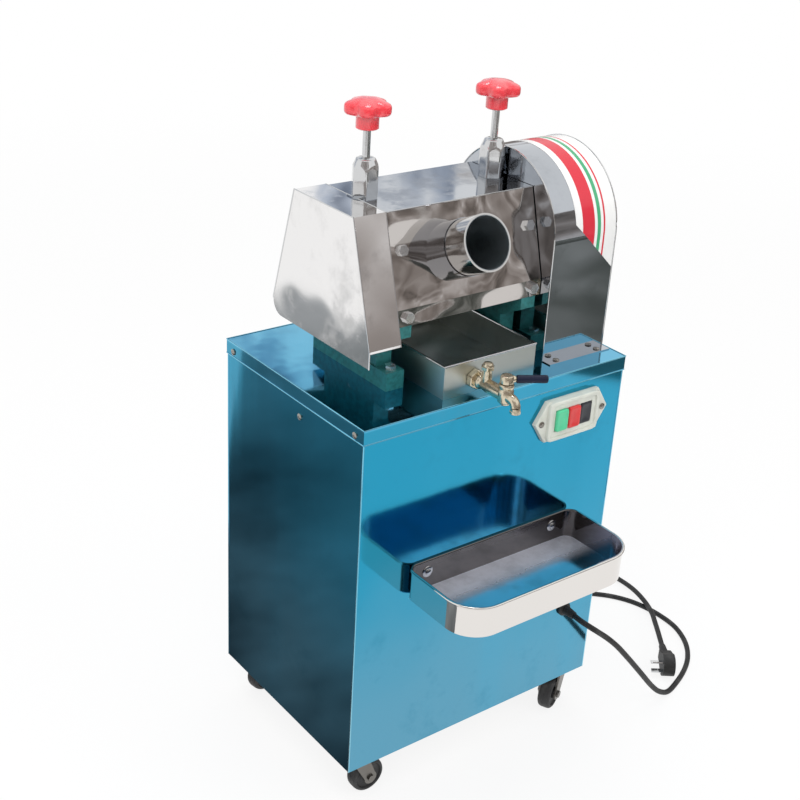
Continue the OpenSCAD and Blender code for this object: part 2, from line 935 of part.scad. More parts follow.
module rear_panel() {
  color("steelblue")
    at_cabinet()
      difference() {
        translate([0, cab_d - sheet, 0])
          cube([cab_w, sheet, panel_h]);
        for (s = [-1, 1])
          for (i = [0 : vent_rows - 1])
            translate([
              cab_w / 2 + s * vent_l * 2 / 3 - vent_l / 2,
              cab_d - sheet - cut,
              vent_z + i * vent_pitch])
              cube([vent_l, sheet + 2 * cut, vent_h]);
        screw_spots()
          translate([0, 0, -screw_l])
            cylinder(d = screw_hole, h = screw_l);
      }
}

module top_cover() {
  color("steelblue")
    at_cabinet()
      difference() {
        translate([-lid_over, -lid_over, cab_h - skirt_h])
          cube([cab_w + 2 * lid_over, cab_d + 2 * lid_over, skirt_h]);
        translate([-skirt_gap, -skirt_gap, cab_h - skirt_h - cut])
          cube([cab_w + 2 * skirt_gap, cab_d + 2 * skirt_gap, skirt_h + cut - sheet]);
        translate([pulley_x - slot_w / 2, head_y - slot_half, cab_h - sheet - cut])
          cube([slot_w, 2 * slot_half, sheet + 2 * cut]);
        screw_spots()
          translate([0, 0, -screw_l])
            cylinder(d = screw_hole, h = screw_l + cut);
        flange_spots()
          translate([0, 0, -screw_l])
            cylinder(d = screw_hole, h = screw_l);
        foot_spots()
          translate([0, 0, -foot_bolt_l])
            cylinder(d = bolt_hole, h = foot_bolt_l);
      }
}

module panel_screws() {
  color("lightgray")
    at_cabinet() {
      screw_spots()
        pan_screw();
      tray_spots()
        pan_screw();
      switch_spots()
        pan_screw();
      flange_spots()
        pan_screw();
    }
}

module hex_bolts() {
  color("silver")
    at_cabinet() {
      foot_spots()
        hex_bolt(foot_bolt_l);
      cover_spots()
        hex_bolt(cover_bolt_l);
      caster_bolt_spots()
        hex_bolt(base_t + caster_plate_t);
      motor_bolt_spots()
        hex_bolt(motor_bolt_l);
    }
}

module caster_plates() {
  color("dimgray")
    at_cabinet()
      for (c = caster_spots)
        difference() {
          union() {
            translate([c[0], c[1], -caster_plate_t / 2])
              cube([caster_plate, caster_plate, caster_plate_t], center = true);
            translate([c[0], c[1], -caster_plate_t - race_h])
              cylinder(d = race_d, h = race_h);
            translate([c[0], c[1], crown_low - skirt_gap])
              cylinder(d = rivet_d, h = -crown_low - caster_plate_t);
            translate([c[0], c[1], crown_low - skirt_gap - rivet_head_h])
              cylinder(d = rivet_head_d, h = rivet_head_h);
          }
          caster_bolt_spots()
            translate([0, 0, -base_t - caster_plate_t - cut])
              cylinder(d = bolt_hole, h = caster_plate_t + 2 * cut);
        }
}

// Caster fork around the swivel axis, its trail along the first axis
module fork_shape() {
  difference() {
    union() {
      translate([0, 0, crown_low])
        cylinder(r = leg_y + fork_t, h = fork_t);
      for (s = [-1, 1])
        along_front(s > 0 ? leg_y + fork_t : -leg_y)
          linear_extrude(fork_t) {
            polygon([
              [-fork_end_r, crown_top],
              [caster_trail - fork_t, crown_top],
              [caster_trail + fork_end_r, axle_z],
              [caster_trail - fork_end_r, axle_z]]);
            translate([caster_trail, axle_z])
              circle(r = fork_end_r);
          }
      along_front(leg_y + fork_t + axle_head_h)
        translate([caster_trail, axle_z, 0]) {
          cylinder(d = axle_head_d, h = axle_head_h);
          cylinder(d = axle_d, h = 2 * (leg_y + fork_t + axle_head_h));
          translate([0, 0, 2 * (leg_y + fork_t) + axle_head_h])
            cylinder(d = axle_head_d, h = axle_head_h, $fn = flat_sides);
        }
    }
    translate([0, 0, crown_low - cut])
      cylinder(d = rivet_d + 2 * fit, h = fork_t + 2 * cut);
  }
}

// Caster wheel in the same place as the fork
module wheel_shape() {
  along_front(wheel_w / 2)
    translate([caster_trail, axle_z, 0])
      difference() {
        rotate_extrude()
          polygon([
            [axle_d / 2 + fit, 0],
            [wheel_hub_d / 2, 0],
            [wheel_hub_d / 2, wheel_dish],
            [wheel_d / 2 - wheel_rim, wheel_dish],
            [wheel_d / 2 - wheel_rim, 0],
            [wheel_d / 2 - wheel_dish, 0],
            [wheel_d / 2, wheel_dish],
            [wheel_d / 2, wheel_w - wheel_dish],
            [wheel_d / 2 - wheel_dish, wheel_w],
            [wheel_d / 2 - wheel_rim, wheel_w],
            [wheel_d / 2 - wheel_rim, wheel_w - wheel_dish],
            [wheel_hub_d / 2, wheel_w - wheel_dish],
            [wheel_hub_d / 2, wheel_w],
            [axle_d / 2 + fit, wheel_w]]);
      }
}

// Place of one caster
module caster(i) {
  at_cabinet()
    translate([caster_spots[i][0], caster_spots[i][1], 0])
      rotate([0, 0, caster_spots[i][2]])
        children();
}

module fork_front_left() {
  color("gray")
    caster(0)
      fork_shape();
}

module fork_front_right() {
  color("gray")
    caster(1)
      fork_shape();
}

module fork_rear_left() {
  color("gray")
    caster(2)
      fork_shape();
}

module fork_rear_right() {
  color("gray")
    caster(3)
      fork_shape();
}

module wheel_front_left() {
  color("black")
    caster(0)
      wheel_shape();
}

module wheel_front_right() {
  color("black")
    caster(1)
      wheel_shape();
}

module wheel_rear_left() {
  color("black")
    caster(2)
      wheel_shape();
}

module wheel_rear_right() {
  color("black")
    caster(3)
      wheel_shape();
}

// Outline of the tray from above, moved in from its outer edge; negative moves it out
module tray_outline(inset) {
  fr = tray_front_r - inset;
  rr = tray_rear_r - inset;
  w = tray_w - 2 * inset;
  rear = -max(inset, 0);
  front = inset + rim_over - tray_d;
  translate([tray_x + inset, 0]) {
    translate([rr, front + fr])
      square([w - 2 * rr, rear - front - fr]);
    translate([0, front + fr])
      square([w, rear - front - fr - rr]);
    translate([fr, front])
      square([w - 2 * fr, fr + cut]);
    for (x = [rr, w - rr])
      translate([x, rear - rr])
        circle(r = rr);
    for (x = [fr, w - fr])
      translate([x, front + fr])
        circle(r = fr);
  }
}

module cup_tray() {
  color("silver")
    at_cabinet()
      difference() {
        union() {
          translate([0, 0, tray_z])
            linear_extrude(tray_h)
              tray_outline(0);
          translate([0, 0, tray_z + tray_h - rim_h])
            linear_extrude(rim_h)
              intersection() {
                tray_outline(-rim_over);
                translate([0, -tray_d])
                  square([cab_w, tray_d - 2 * tray_rear_r]);
              }
        }
        translate([0, 0, tray_z + tray_t])
          linear_extrude(tray_h)
            tray_outline(tray_t);
        tray_spots()
          translate([0, 0, -screw_l])
            cylinder(d = screw_hole, h = screw_l + cut);
      }
}

// Six-cornered outline of the switch plate
module switch_outline() {
  tip = switch_l / 2;
  edge = switch_edge / 2;
  side = switch_h / 2;
  translate([switch_x, switch_z])
    polygon([[-tip, 0], [-edge, -side], [edge, -side], [tip, 0], [edge, side], [-edge, side]]);
}

// Rectangle around the middle of the switch plate
module switch_field(w, h, t) {
  translate([switch_x, switch_z, 0])
    linear_extrude(t)
      square([w, h], center = true);
}

module switch_plate() {
  inner_h = button_h + 2 * button_lip + 2 * button_gap;
  color("ivory")
    at_cabinet()
      difference() {
        along_front() {
          linear_extrude(switch_t)
            switch_outline();
          switch_field(switch_edge, switch_h, switch_t + switch_rise);
        }
        along_front(-button_face)
          switch_field(switch_edge - 2 * switch_margin, switch_h - 2 * switch_margin, cut
            + switch_recess);
        along_front(cut) {
          switch_field(3 * button_pitch, inner_h, cut + button_face - switch_wall);
          for (i = [-1 : 1])
            translate([i * button_pitch, 0, 0])
              switch_field(button_w + 2 * button_gap, button_h + 2 * button_gap,
                button_face + 2 * cut);
        }
        switch_spots()
          translate([0, 0, -screw_l])
            cylinder(d = screw_hole, h = screw_l + cut);
      }
}

// Push button with its retaining flange at the upper and lower edges
module button(i, out) {
  back = button_face - switch_wall - button_lip_t - button_gap;
  at_cabinet()
    along_front(-back)
      translate([i * button_pitch, 0, 0]) {
        switch_field(button_w, button_h, button_face + out - back);
        switch_field(button_w, button_h + 2 * button_lip, button_lip_t);
      }
}

module green_button() {
  color("limegreen")
    button(-1, button_out);
}

module red_button() {
  color("red")
    button(0, button_out);
}

module black_button() {
  color("black")
    button(1, button_low);
}

// Cast frame with its middle plane at x
module frame(x) {
  front = cover_y(fold_z) + cover_ty;
  rear = cover_rear(head_low) - cover_ty;
  difference() {
    union() {
      along_x(x - frame_t / 2)
        linear_extrude(frame_t)
          polygon([
            [head_y - leg_half, cab_h],
            [head_y + leg_half, cab_h],
            [head_y + leg_half, leg_top],
            [rear, head_low],
            [cover_rear(frame_top) - cover_ty, frame_top],
            [cover_y(frame_top) + cover_ty, frame_top],
            [front, fold_z],
            [front, head_low],
            [head_y - leg_half, leg_top]]);
      translate([x - foot_w / 2, head_y - foot_half, cab_h])
        cube([foot_w, 2 * foot_half, foot_h]);
    }
    for (s = [-1, 1])
      bar(x - frame_t, head_y + s * roller_half, lower_axis,
        shaft_d + 2 * fit + 2 * bush_wall, 2 * frame_t);
    translate([x - frame_t, head_y - window_w / 2, window_low])
      cube([2 * frame_t, window_w, window_top - window_low]);
    translate([x, head_y, window_top - cut])
      cylinder(d = screw_stem_d + 2 * bridge_gap, h = window_bridge + 2 * cut);
    foot_spots()
      translate([0, 0, -foot_bolt_l])
        cylinder(d = bolt_hole, h = foot_bolt_l);
    cover_spots()
      translate([0, 0, -cover_bolt_l])
        cylinder(d = bolt_hole, h = cover_bolt_l);
  }
}

module left_frame() {
  color("seagreen")
    at_cabinet()
      frame(frame_left);
}

module right_frame() {
  color("seagreen")
    at_cabinet()
      difference() {
        union() {
          frame(frame_right);
          bar(frame_right + frame_t / 2, head_y, jack_axis, jack_boss_d, jack_boss_l);
        }
        bar(frame_right - frame_t, head_y, jack_axis, jack_d + 2 * fit,
          2 * frame_t + jack_boss_l);
      }
}

module tie_bars() {
  color("gray")
    at_cabinet() {
      l = inner_right - inner_left;
      for (s = [-1, 1])
        bar(inner_left, head_y + s * tie_half, tie_high, tie_d, l);
      bar(inner_left, head_y + tie_low_y, tie_low, tie_d, l);
    }
}

module bearing_blocks() {
  color("gray")
    at_cabinet()
      for (x = [frame_left, frame_right])
        difference() {
          translate([x - frame_t / 2, head_y - window_w / 2, window_low])
            cube([frame_t, window_w, block_h]);
          bar(x - frame_t, head_y, roller_high, shaft_d + 2 * fit, 2 * frame_t);
        }
}

module bushes() {
  color("peru")
    at_cabinet()
      for (x = [frame_left, frame_right])
        for (s = [-1, 1])
          difference() {
            bar(x - frame_t / 2, head_y + s * roller_half, lower_axis,
              shaft_d + 2 * fit + 2 * bush_wall, frame_t);
            bar(x - frame_t, head_y + s * roller_half, lower_axis,
              shaft_d + 2 * fit, 2 * frame_t);
          }
}

// End outline of the head down to a height; grow moves the front, top and rear faces out
module head_outline(grow_y, grow_z, low) {
  top = head_top + grow_z;
  polygon([
    [cover_y(head_top) - grow_y, top],
    [cover_y(head_low) - grow_y, head_low],
    [cover_y(head_low) - grow_y, low],
    [cover_rear(head_low) + grow_y, low],
    [cover_rear(head_low) + grow_y, head_low],
    [cover_rear(head_top) + grow_y, top]]);
}

// Extension of the left cover's end face below the head, with a rounded rear corner
module cap_apron() {
  r = cap_flange - cap_low;
  front = cover_y(head_low) - cap_ty;
  middle = cover_rear(head_low) + cap_ty - r;
  difference() {
    translate([front, cap_low])
      square([middle + r - front, r]);
    translate([middle, cap_low])
      difference() {
        square(r + cut);
        translate([0, r])
          circle(r = r);
      }
  }
}

module left_cover() {
  color("silver")
    at_cabinet()
      difference() {
        along_x(cap_x) {
          linear_extrude(cap_w)
            head_outline(cap_ty, cap_t, cap_flange);
          linear_extrude(cap_t)
            cap_apron();
        }
        along_x(cap_x + cap_t)
          linear_extrude(cap_w)
            head_outline(0, 0, cap_flange - cut);
        translate([frame_left, head_y, head_top - cut])
          cylinder(d = sleeve_w + 2 * house_gap, h = 2 * cut + cap_t);
      }
}

module front_cover() {
  color("silver")
    at_cabinet()
      difference() {
        along_x(cover_x)
          linear_extrude(cover_w)
            polygon([
              [cover_y(head_top), head_top],
              [cover_y(fold_z), fold_z],
              [cover_y(fold_z), front_low],
              [cover_y(fold_z) + cover_ty, front_low],
              [cover_y(fold_z) + cover_ty, fold_z],
              [cover_y(head_top - sheet) + cover_ty, head_top - sheet],
              [cover_y(head_top - sheet) + cover_ty, head_top]]);
        on_front(feed_x, feed_z, feed_tilt)
          translate([0, 0, -feed_l])
            cylinder(r = feed_pipe_r + sleeve_wall, h = 2 * feed_l);
        cover_spots()
          translate([0, 0, -cover_bolt_l])
            cylinder(d = bolt_hole, h = cover_bolt_l + cut);
      }
}

module top_plate() {
  color("silver")
    at_cabinet()
      difference() {
        translate([cover_x, cover_y(head_top - sheet) + cover_ty, head_top - sheet])
          cube([cover_w, 2 * (head_y - cover_y(head_top - sheet) - cover_ty), sheet]);
        for (x = [frame_left, frame_right])
          translate([x, head_y, head_top - sheet - cut])
            cylinder(d = screw_stem_d + 2 * bridge_gap, h = sheet + 2 * cut);
      }
}

module rear_cover() {
  color("silver")
    at_cabinet()
      difference() {
        along_x(cover_x)
          linear_extrude(cover_w)
            polygon([
              [cover_rear(head_top), head_top],
              [cover_rear(head_low), head_low],
              [cover_rear(head_low) - cover_ty, head_low],
              [cover_rear(head_top - sheet) - cover_ty, head_top - sheet],
              [cover_rear(head_top - sheet) - cover_ty, head_top]]);
        translate([outlet_x, head_y, outlet_low])
          cube([outlet_w, cab_d, outlet_high - outlet_low]);
      }
}

// Chute floor and cheeks in the bagasse opening, sloping down towards the rear
module outlet_chute() {
  y0 = cover_rear(outlet_lift) - chute_lift;
  y1 = cover_rear(outlet_lift) + chute_out;
  color("silver")
    at_cabinet()
      difference() {
        along_x(outlet_x)
          linear_extrude(outlet_w)
            polygon([
              [y0, outlet_lift],
              [y1, outlet_lift - chute_drop],
              [y1, outlet_lift - chute_drop + chute_cheek],
              [y0, outlet_lift + chute_cheek + chute_lift]]);
        along_x(outlet_x + sheet)
          linear_extrude(outlet_w - 2 * sheet)
            polygon([
              [y0 - cut, outlet_lift + sheet + cut * chute_drop / chute_out],
              [y1 + cut, outlet_lift - chute_drop + sheet - cut * chute_drop / chute_out],
              [y1 + cut, outlet_high],
              [y0 - cut, outlet_high]]);
      }
}

module feed_sleeve() {
  color("lightgray")
    at_cabinet()
      on_front(feed_x, feed_z, feed_tilt)
        difference() {
          translate([0, 0, -feed_in])
            cylinder(r = feed_pipe_r + sleeve_wall, h = feed_in + sleeve_l);
          translate([0, 0, -feed_in - cut])
            cylinder(r = feed_pipe_r, h = feed_in + sleeve_l + 2 * cut);
        }
}

module feed_tube() {
  color("lightgray")
    at_cabinet()
      on_front(feed_x, feed_z, feed_tilt)
        difference() {
          union() {
            translate([0, 0, -feed_in])
              cylinder(r = feed_pipe_r, h = feed_in + feed_l);
            translate([0, 0, sleeve_l + feed_groove])
              cylinder(r = feed_r, h = feed_l - sleeve_l - feed_groove);
          }
          translate([0, 0, -feed_in - cut])
            cylinder(r = feed_bore_r, h = feed_in + feed_l + 2 * cut);
        }
}

// Fluted roller with its shaft ending at x1
module roller(y, z, x1) {
  x0 = frame_left - frame_t / 2 - shaft_out;
  difference() {
    bar(roller_x, y, z, roller_d, roller_l);
    for (i = [0 : roller_flutes - 1])
      bar(roller_x - cut,
        y + roller_d / 2 * cos(full_turn * i / roller_flutes),
        z + roller_d / 2 * sin(full_turn * i / roller_flutes),
        2 * flute_r, roller_l + 2 * cut);
  }
  bar(x0, y, z, shaft_d, x1 - x0);
}

module upper_roller() {
  color("gray")
    at_cabinet()
      roller(head_y, roller_high, bull_x + gear_w + shaft_out);
}

module front_roller() {
  color("gray")
    at_cabinet()
      roller(head_y - roller_half, lower_axis, gear_x + gear_w);
}

module rear_roller() {
  color("gray")
    at_cabinet()
      roller(head_y + roller_half, lower_axis, gear_x + gear_w);
}

// Spur gear along x on a shaft
module gear(x, y, z, n, r, m, phase, bore) {
  along_x(x)
    translate([y, z, 0])
      difference() {
        rotate([0, 0, phase])
          linear_extrude(gear_w)
            polygon(gear_points(n, r, m));
        translate([0, 0, -cut])
          cylinder(d = bore, h = gear_w + 2 * cut);
      }
}

module upper_gear() {
  color("dimgray")
    at_cabinet()
      gear(gear_x, head_y, roller_high, gear_n, mesh_r, gear_m, front_dir, shaft_d);
}

module front_gear() {
  color("dimgray")
    at_cabinet()
      gear(gear_x, head_y - roller_half, lower_axis, gear_n, mesh_r, gear_m,
        mate_phase(front_dir, front_dir, gear_n, gear_n), shaft_d);
}

module rear_gear() {
  color("dimgray")
    at_cabinet()
      gear(gear_x, head_y + roller_half, lower_axis, gear_n, mesh_r, gear_m,
        mate_phase(rear_dir, front_dir, gear_n, gear_n), shaft_d);
}

module bull_gear() {
  color("dimgray")
    at_cabinet()
      gear(bull_x, head_y, roller_high, bull_n, gear_m * bull_n / 2, gear_m,
        -quarter_turn, shaft_d);
}

module pinion_shaft() {
  color("gray")
    at_cabinet() {
      gear(bull_x, head_y, jack_axis, pinion_n, gear_m * pinion_n / 2, gear_m,
        mate_phase(-quarter_turn, -quarter_turn, bull_n, pinion_n), jack_d / 2);
      bar(inner_right, head_y, jack_axis, jack_d, pulley_x + pulley_w / 2 - inner_right);
    }
}

// Grooved rim outline shared by the pulleys
function groove_points(r) = [
  [r - belt_t / 2 - belt_gap, -belt_w / 2 - belt_gap],
  [r + belt_t / 2 + pulley_lip, -belt_w / 2 - belt_gap],
  [r + belt_t / 2 + pulley_lip, -pulley_w / 2]
];

module large_pulley() {
  inner = pulley_r - belt_t / 2 - pulley_rim;
  groove = groove_points(pulley_r);
  color("dimgray")
    at_cabinet()
      along_x(pulley_x)
        translate([head_y, jack_axis, 0])
          rotate_extrude()
            polygon(concat(
              [[jack_d / 2, -pulley_w / 2], [pulley_hub_d / 2, -pulley_w / 2],
              [pulley_hub_d / 2, -pulley_web / 2], [inner, -pulley_web / 2],
              [inner, -pulley_w / 2]],
              [for (i = [2 : -1 : 0]) groove[i]],
              [for (i = [0 : 2]) [groove[i][0], -groove[i][1]]],
              [[inner, pulley_w / 2], [inner, pulley_web / 2],
              [pulley_hub_d / 2, pulley_web / 2], [pulley_hub_d / 2, pulley_w / 2],
              [jack_d / 2, pulley_w / 2]]));
}

module motor_pulley() {
  groove = groove_points(motor_pulley_r);
  color("dimgray")
    at_cabinet() {
      along_x(pulley_x)
        translate([head_y, motor_axis, 0])
          rotate_extrude()
            polygon(concat(
              [[0, -pulley_w / 2]],
              [for (i = [2 : -1 : 0]) groove[i]],
              [for (i = [0 : 2]) [groove[i][0], -groove[i][1]]],
              [[0, pulley_w / 2]]));
      bar(motor_end - motor_shaft_in, head_y, motor_axis, motor_shaft_d,
        pulley_x - motor_end + motor_shaft_in);
    }
}

// Points of the belt loop, moved out from its pitch line
function belt_points(out) = concat(
  [for (i = [0 : belt_steps])
  let (a = (half_turn + 2 * belt_lean) * i / belt_steps - belt_lean)
  [head_y + (pulley_r + out) * cos(a), jack_axis + (pulley_r + out) * sin(a)]],
  [for (i = [0 : belt_steps])
  let (a = (half_turn - 2 * belt_lean) * i / belt_steps + half_turn + belt_lean)
  [head_y + (motor_pulley_r + out) * cos(a), motor_axis + (motor_pulley_r + out) * sin(a)]]);

module drive_belt() {
  color("black")
    at_cabinet()
      along_x(pulley_x - belt_w / 2)
        linear_extrude(belt_w)
          difference() {
            polygon(belt_points(belt_t / 2));
            polygon(belt_points(-belt_t / 2));
          }
}

module motor_body() {
  mid = motor_end - motor_l / 2;
  color("slategray")
    at_cabinet()
      difference() {
        union() {
          bar(motor_end - motor_l, head_y, motor_axis, motor_d, motor_l);
          translate([mid - motor_foot_l / 2, head_y - motor_foot_w / 2, base_t])
            cube([motor_foot_l, motor_foot_w, motor_foot_t]);
          translate([mid - motor_foot_l / 2, head_y - motor_neck_w / 2, base_t])
            cube([motor_foot_l, motor_neck_w, motor_z]);
          translate([mid - terminal_side / 2, head_y - terminal_side / 2, motor_axis])
            cube([terminal_side, terminal_side, motor_d / 2 + terminal_h]);
        }
        bar(motor_end - motor_shaft_in - fit, head_y, motor_axis,
          motor_shaft_d + 2 * fit, motor_shaft_in + cut);
        motor_bolt_spots()
          translate([0, 0, -motor_foot_t - cut])
            cylinder(d = bolt_hole, h = motor_foot_t + 2 * cut);
      }
}

// Arched outline of the gear housing, moved in from its outer face
module house_outline(inset, low) {
  translate([house_y - house_r + inset, low])
    square([2 * (house_r - inset), roller_high - low]);
  translate([house_y, roller_high])
    circle(r = house_r - inset);
}

module gear_housing() {
  color("silver")
    at_cabinet()
      difference() {
        union() {
          along_x(house_x)
            linear_extrude(house_w)
              house_outline(0, cab_h);
          translate([house_x, house_y - house_r - flange_d, cab_h])
            cube([house_w, 2 * (house_r + flange_d), sheet]);
        }
        along_x(house_x + sheet)
          linear_extrude(house_w - 2 * sheet)
            house_outline(sheet, cab_h - cut);
        bar(house_x - cut, head_y, roller_high, shaft_d + 2 * house_gap, sheet + 2 * cut);
        for (s = [-1, 1])
          bar(house_x - cut, head_y + s * roller_half, lower_axis,
            shaft_d + 2 * house_gap, sheet + 2 * cut);
        bar(house_x - cut, head_y, jack_axis, jack_boss_d + house_gap, sheet + 2 * cut);
        flange_spots()
          translate([0, 0, -screw_l])
            cylinder(d = screw_hole, h = screw_l + cut);
      }
}

module hex_sleeves() {
  color("lightgray")
    at_cabinet()
      for (x = [frame_left, frame_right])
        translate([x, head_y, head_top])
          difference() {
            rotate([0, 0, x == frame_left ? turn_flats : 0])
              cylinder(d = sleeve_w, h = sleeve_h, $fn = flat_sides);
            translate([0, 0, -cut])
              cylinder(d = screw_stem_d + 2 * fit, h = sleeve_h + 2 * cut);
          }
}

module stem(x, raise) {
  color("silver")
    at_cabinet()
      translate([x, head_y, block_top + tip_gap])
        cylinder(d = screw_stem_d, h = knob_z + raise + knob_grip - block_top - tip_gap);
}

module left_screw() {
  stem(frame_left, 0);
}

module right_screw() {
  stem(frame_right, knob_raise);
}

// Domed star knob
module knob(x, raise) {
  ring = (knob_d - lobe_d) / 2;
  color("red")
    at_cabinet()
      translate([x, head_y, knob_z + raise])
        difference() {
          union() {
            cylinder(d = knob_hub_d, h = knob_skirt + lobe_d / 2);
            intersection() {
              translate([0, 0, knob_skirt])
                linear_extrude(knob_h) {
                  circle(d = knob_core_d);
                  for (i = [0 : lobe_n - 1])
                    rotate(lobe_turn + full_turn * i / lobe_n)
                      translate([ring, 0])
                        circle(d = lobe_d);
                }
              translate([0, 0, knob_h - dome_r])
                sphere(r = dome_r);
            }
          }
          translate([0, 0, -cut])
            cylinder(d = screw_stem_d, h = knob_grip + cut);
        }
}

module left_knob() {
  knob(frame_left, 0);
}

module right_knob() {
  knob(frame_right, knob_raise);
}

module juice_trough() {
  color("silver")
    at_cabinet()
      difference() {
        translate([trough_x, trough_y, cab_h])
          cube([trough_w, trough_l, trough_h]);
        translate([trough_x + trough_t, trough_y + trough_t, cab_h + trough_floor])
          cube([trough_w - 2 * trough_t, trough_l - 2 * trough_t, trough_h]);
        along_front(trough_y + shank_in)
          translate([tap_x, tap_axis, 0])
            cylinder(d = shank_d, h = shank_in + cut);
      }
}

module tap_body() {
  color("goldenrod")
    at_cabinet()
      difference() {
        union() {
          along_front(trough_y + shank_in)
            translate([tap_x, tap_axis, 0])
              cylinder(d = shank_d, h = shank_in);
          along_front(trough_y)
            translate([tap_x, tap_axis, 0]) {
              cylinder(d = collar_af / cos(turn_flats), h = collar_t, $fn = flat_sides);
              cylinder(d = barrel_d, h = valve_out);
            }
          translate([tap_x, trough_y - boss_out, tap_axis]) {
            cylinder(d = boss_d, h = boss_h);
            translate([0, 0, boss_h - boss_cap_h])
              cylinder(d = boss_cap_af / cos(turn_flats), h = boss_cap_h / 2,
                $fn = flat_sides);
          }
          translate([tap_x, valve_y, tap_axis - valve_down])
            cylinder(d = valve_d, h = valve_down + valve_up);
          along_front(valve_y)
            translate([tap_x, tap_axis, 0])
              cylinder(d = spout_d, h = valve_d / 2);
          spout(spout_d);
        }
        along_front(trough_y + shank_in + cut)
          translate([tap_x, tap_axis, 0])
            cylinder(d = tap_bore, h = shank_in + valve_out + valve_d / 2 + cut);
        spout(tap_bore);
        translate([tap_x, valve_y, tap_axis - plug_down - hub_gap])
          cylinder(d = plug_d + 2 * fit, h = plug_down + valve_up + hub_gap + cut);
      }
}

// Quarter bend and straight end of the spout
module spout(d) {
  longer = d < spout_d ? cut : 0;
  translate([tap_x, valve_y - valve_d / 2, tap_axis - spout_bend])
    rotate([quarter_turn, 0, -quarter_turn])
      rotate_extrude(angle = quarter_turn)
        translate([spout_bend, 0])
          circle(d = d);
  translate([tap_x, valve_y - valve_d / 2 - spout_bend, tap_axis - spout_bend - spout_end - longer])
    cylinder(d = d, h = spout_end + longer);
}

// Frame of the lever, its arm along the first axis
module at_lever() {
  at_cabinet()
    translate([tap_x, valve_y, tap_axis])
      rotate([0, 0, -lever_turn])
        children();
}

module tap_lever() {
  color("goldenrod")
    at_lever() {
      difference() {
        translate([0, 0, -plug_down])
          cylinder(d = plug_d, h = plug_down + valve_up + hub_gap);
        translate([-plug_d, 0, 0])
          rotate([0, quarter_turn, 0])
            cylinder(d = tap_bore, h = 2 * plug_d);
      }
      translate([0, 0, valve_up + hub_gap])
        cylinder(d = hub_d, h = hub_h);
      translate([0, 0, arm_up])
        rotate([0, quarter_turn, 0])
          cylinder(d = arm_d, h = lever_l - arm_d);
    }
}

module lever_grip() {
  color("black")
    at_lever()
      translate([0, 0, arm_up])
        rotate([0, quarter_turn, 0])
          difference() {
            translate([0, 0, grip_start])
              cylinder(d = grip_d, h = lever_l - grip_start);
            translate([0, 0, grip_start - cut])
              cylinder(d = arm_d, h = lever_l - arm_d - grip_start + cut);
          }
}

module cord_gland() {
  color("black")
    at_cabinet()
      along_front(gland_neck_l + sheet)
        translate([gland_x, gland_z, 0]) {
          cylinder(d = gland_neck_d, h = gland_neck_l + sheet + gland_t);
          translate([0, 0, gland_neck_l + sheet]) {
            cylinder(d = gland_d, h = gland_t);
            cylinder(d1 = relief_d, d2 = cord_d + 2 * relief_wall, h = relief_l);
          }
        }
}

module power_cord() {
  line = curve(cord_line);
  color("black")
    at_cabinet()
      polyhedron(points = rings(line, cord_d / 2), faces = tube_faces(len(line)));
}

// Plug frame: the third axis runs from the cord's end into the plug, the second one points up
module at_plug() {
  at_cabinet()
    translate(plug_entry)
      rotate([quarter_turn, 0, plug_turn + quarter_turn])
        children();
}

module plug_body() {
  r = plug_w / 2;
  color("black")
    at_plug() {
      cylinder(d1 = cord_d + 2 * relief_wall, d2 = relief_d, h = boot_l);
      translate([-plug_t / 2, 0, boot_l])
        rotate([0, quarter_turn, 0])
          linear_extrude(plug_t) {
            translate([-(plug_l - r), 0])
              circle(r = r);
            polygon([
              [0, -relief_d / 2],
              [0, relief_d / 2],
              [-(plug_l - r), r],
              [-(plug_l - r), -r]]);
          }
    }
}

// One flat pin standing on the plug's face
module pin(up, along, slant) {
  translate([-plug_t / 2, up, along])
    rotate([0, -quarter_turn, 0])
      rotate([0, 0, slant])
        translate([-pin_w / 2, -pin_t / 2, 0])
          cube([pin_w, pin_t, pin_l]);
}

module plug_pins() {
  color("silver")
    at_plug() {
      for (s = [-1, 1])
        pin(s * pin_side, boot_l + pin_from, s * pin_slant);
      pin(0, boot_l + pin_from - pin_drop, 0);
    }
}

base_plate();
front_panel();
left_panel();
right_panel();
rear_panel();
top_cover();
panel_screws();
hex_bolts();
caster_plates();
fork_front_left();
fork_front_right();
fork_rear_left();
fork_rear_right();
wheel_front_left();
wheel_front_right();
wheel_rear_left();
wheel_rear_right();
cup_tray();
switch_plate();
green_button();
red_button();
black_button();
left_frame();
right_frame();
tie_bars();
bearing_blocks();
bushes();
left_cover();
front_cover();
top_plate();
rear_cover();
outlet_chute();
feed_sleeve();
feed_tube();
upper_roller();
front_roller();
rear_roller();
upper_gear();
front_gear();
rear_gear();
bull_gear();
pinion_shaft();
large_pulley();
gear_housing();
motor_body();
motor_pulley();
drive_belt();
hex_sleeves();
left_screw();
left_knob();
right_screw();
right_knob();
juice_trough();
tap_body();
tap_lever();
lever_grip();
cord_gland();
power_cord();
plug_body();
plug_pins();
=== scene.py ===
"""Looks of the electric sugarcane juicer: camera, light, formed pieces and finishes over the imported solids."""

import json
import logging
import math
from dataclasses import dataclass, field
from enum import Enum
from typing import Any, Iterable, Optional, Sequence

import bpy
import numpy as np
from bpy.types import Material, Object
from mathutils import Matrix

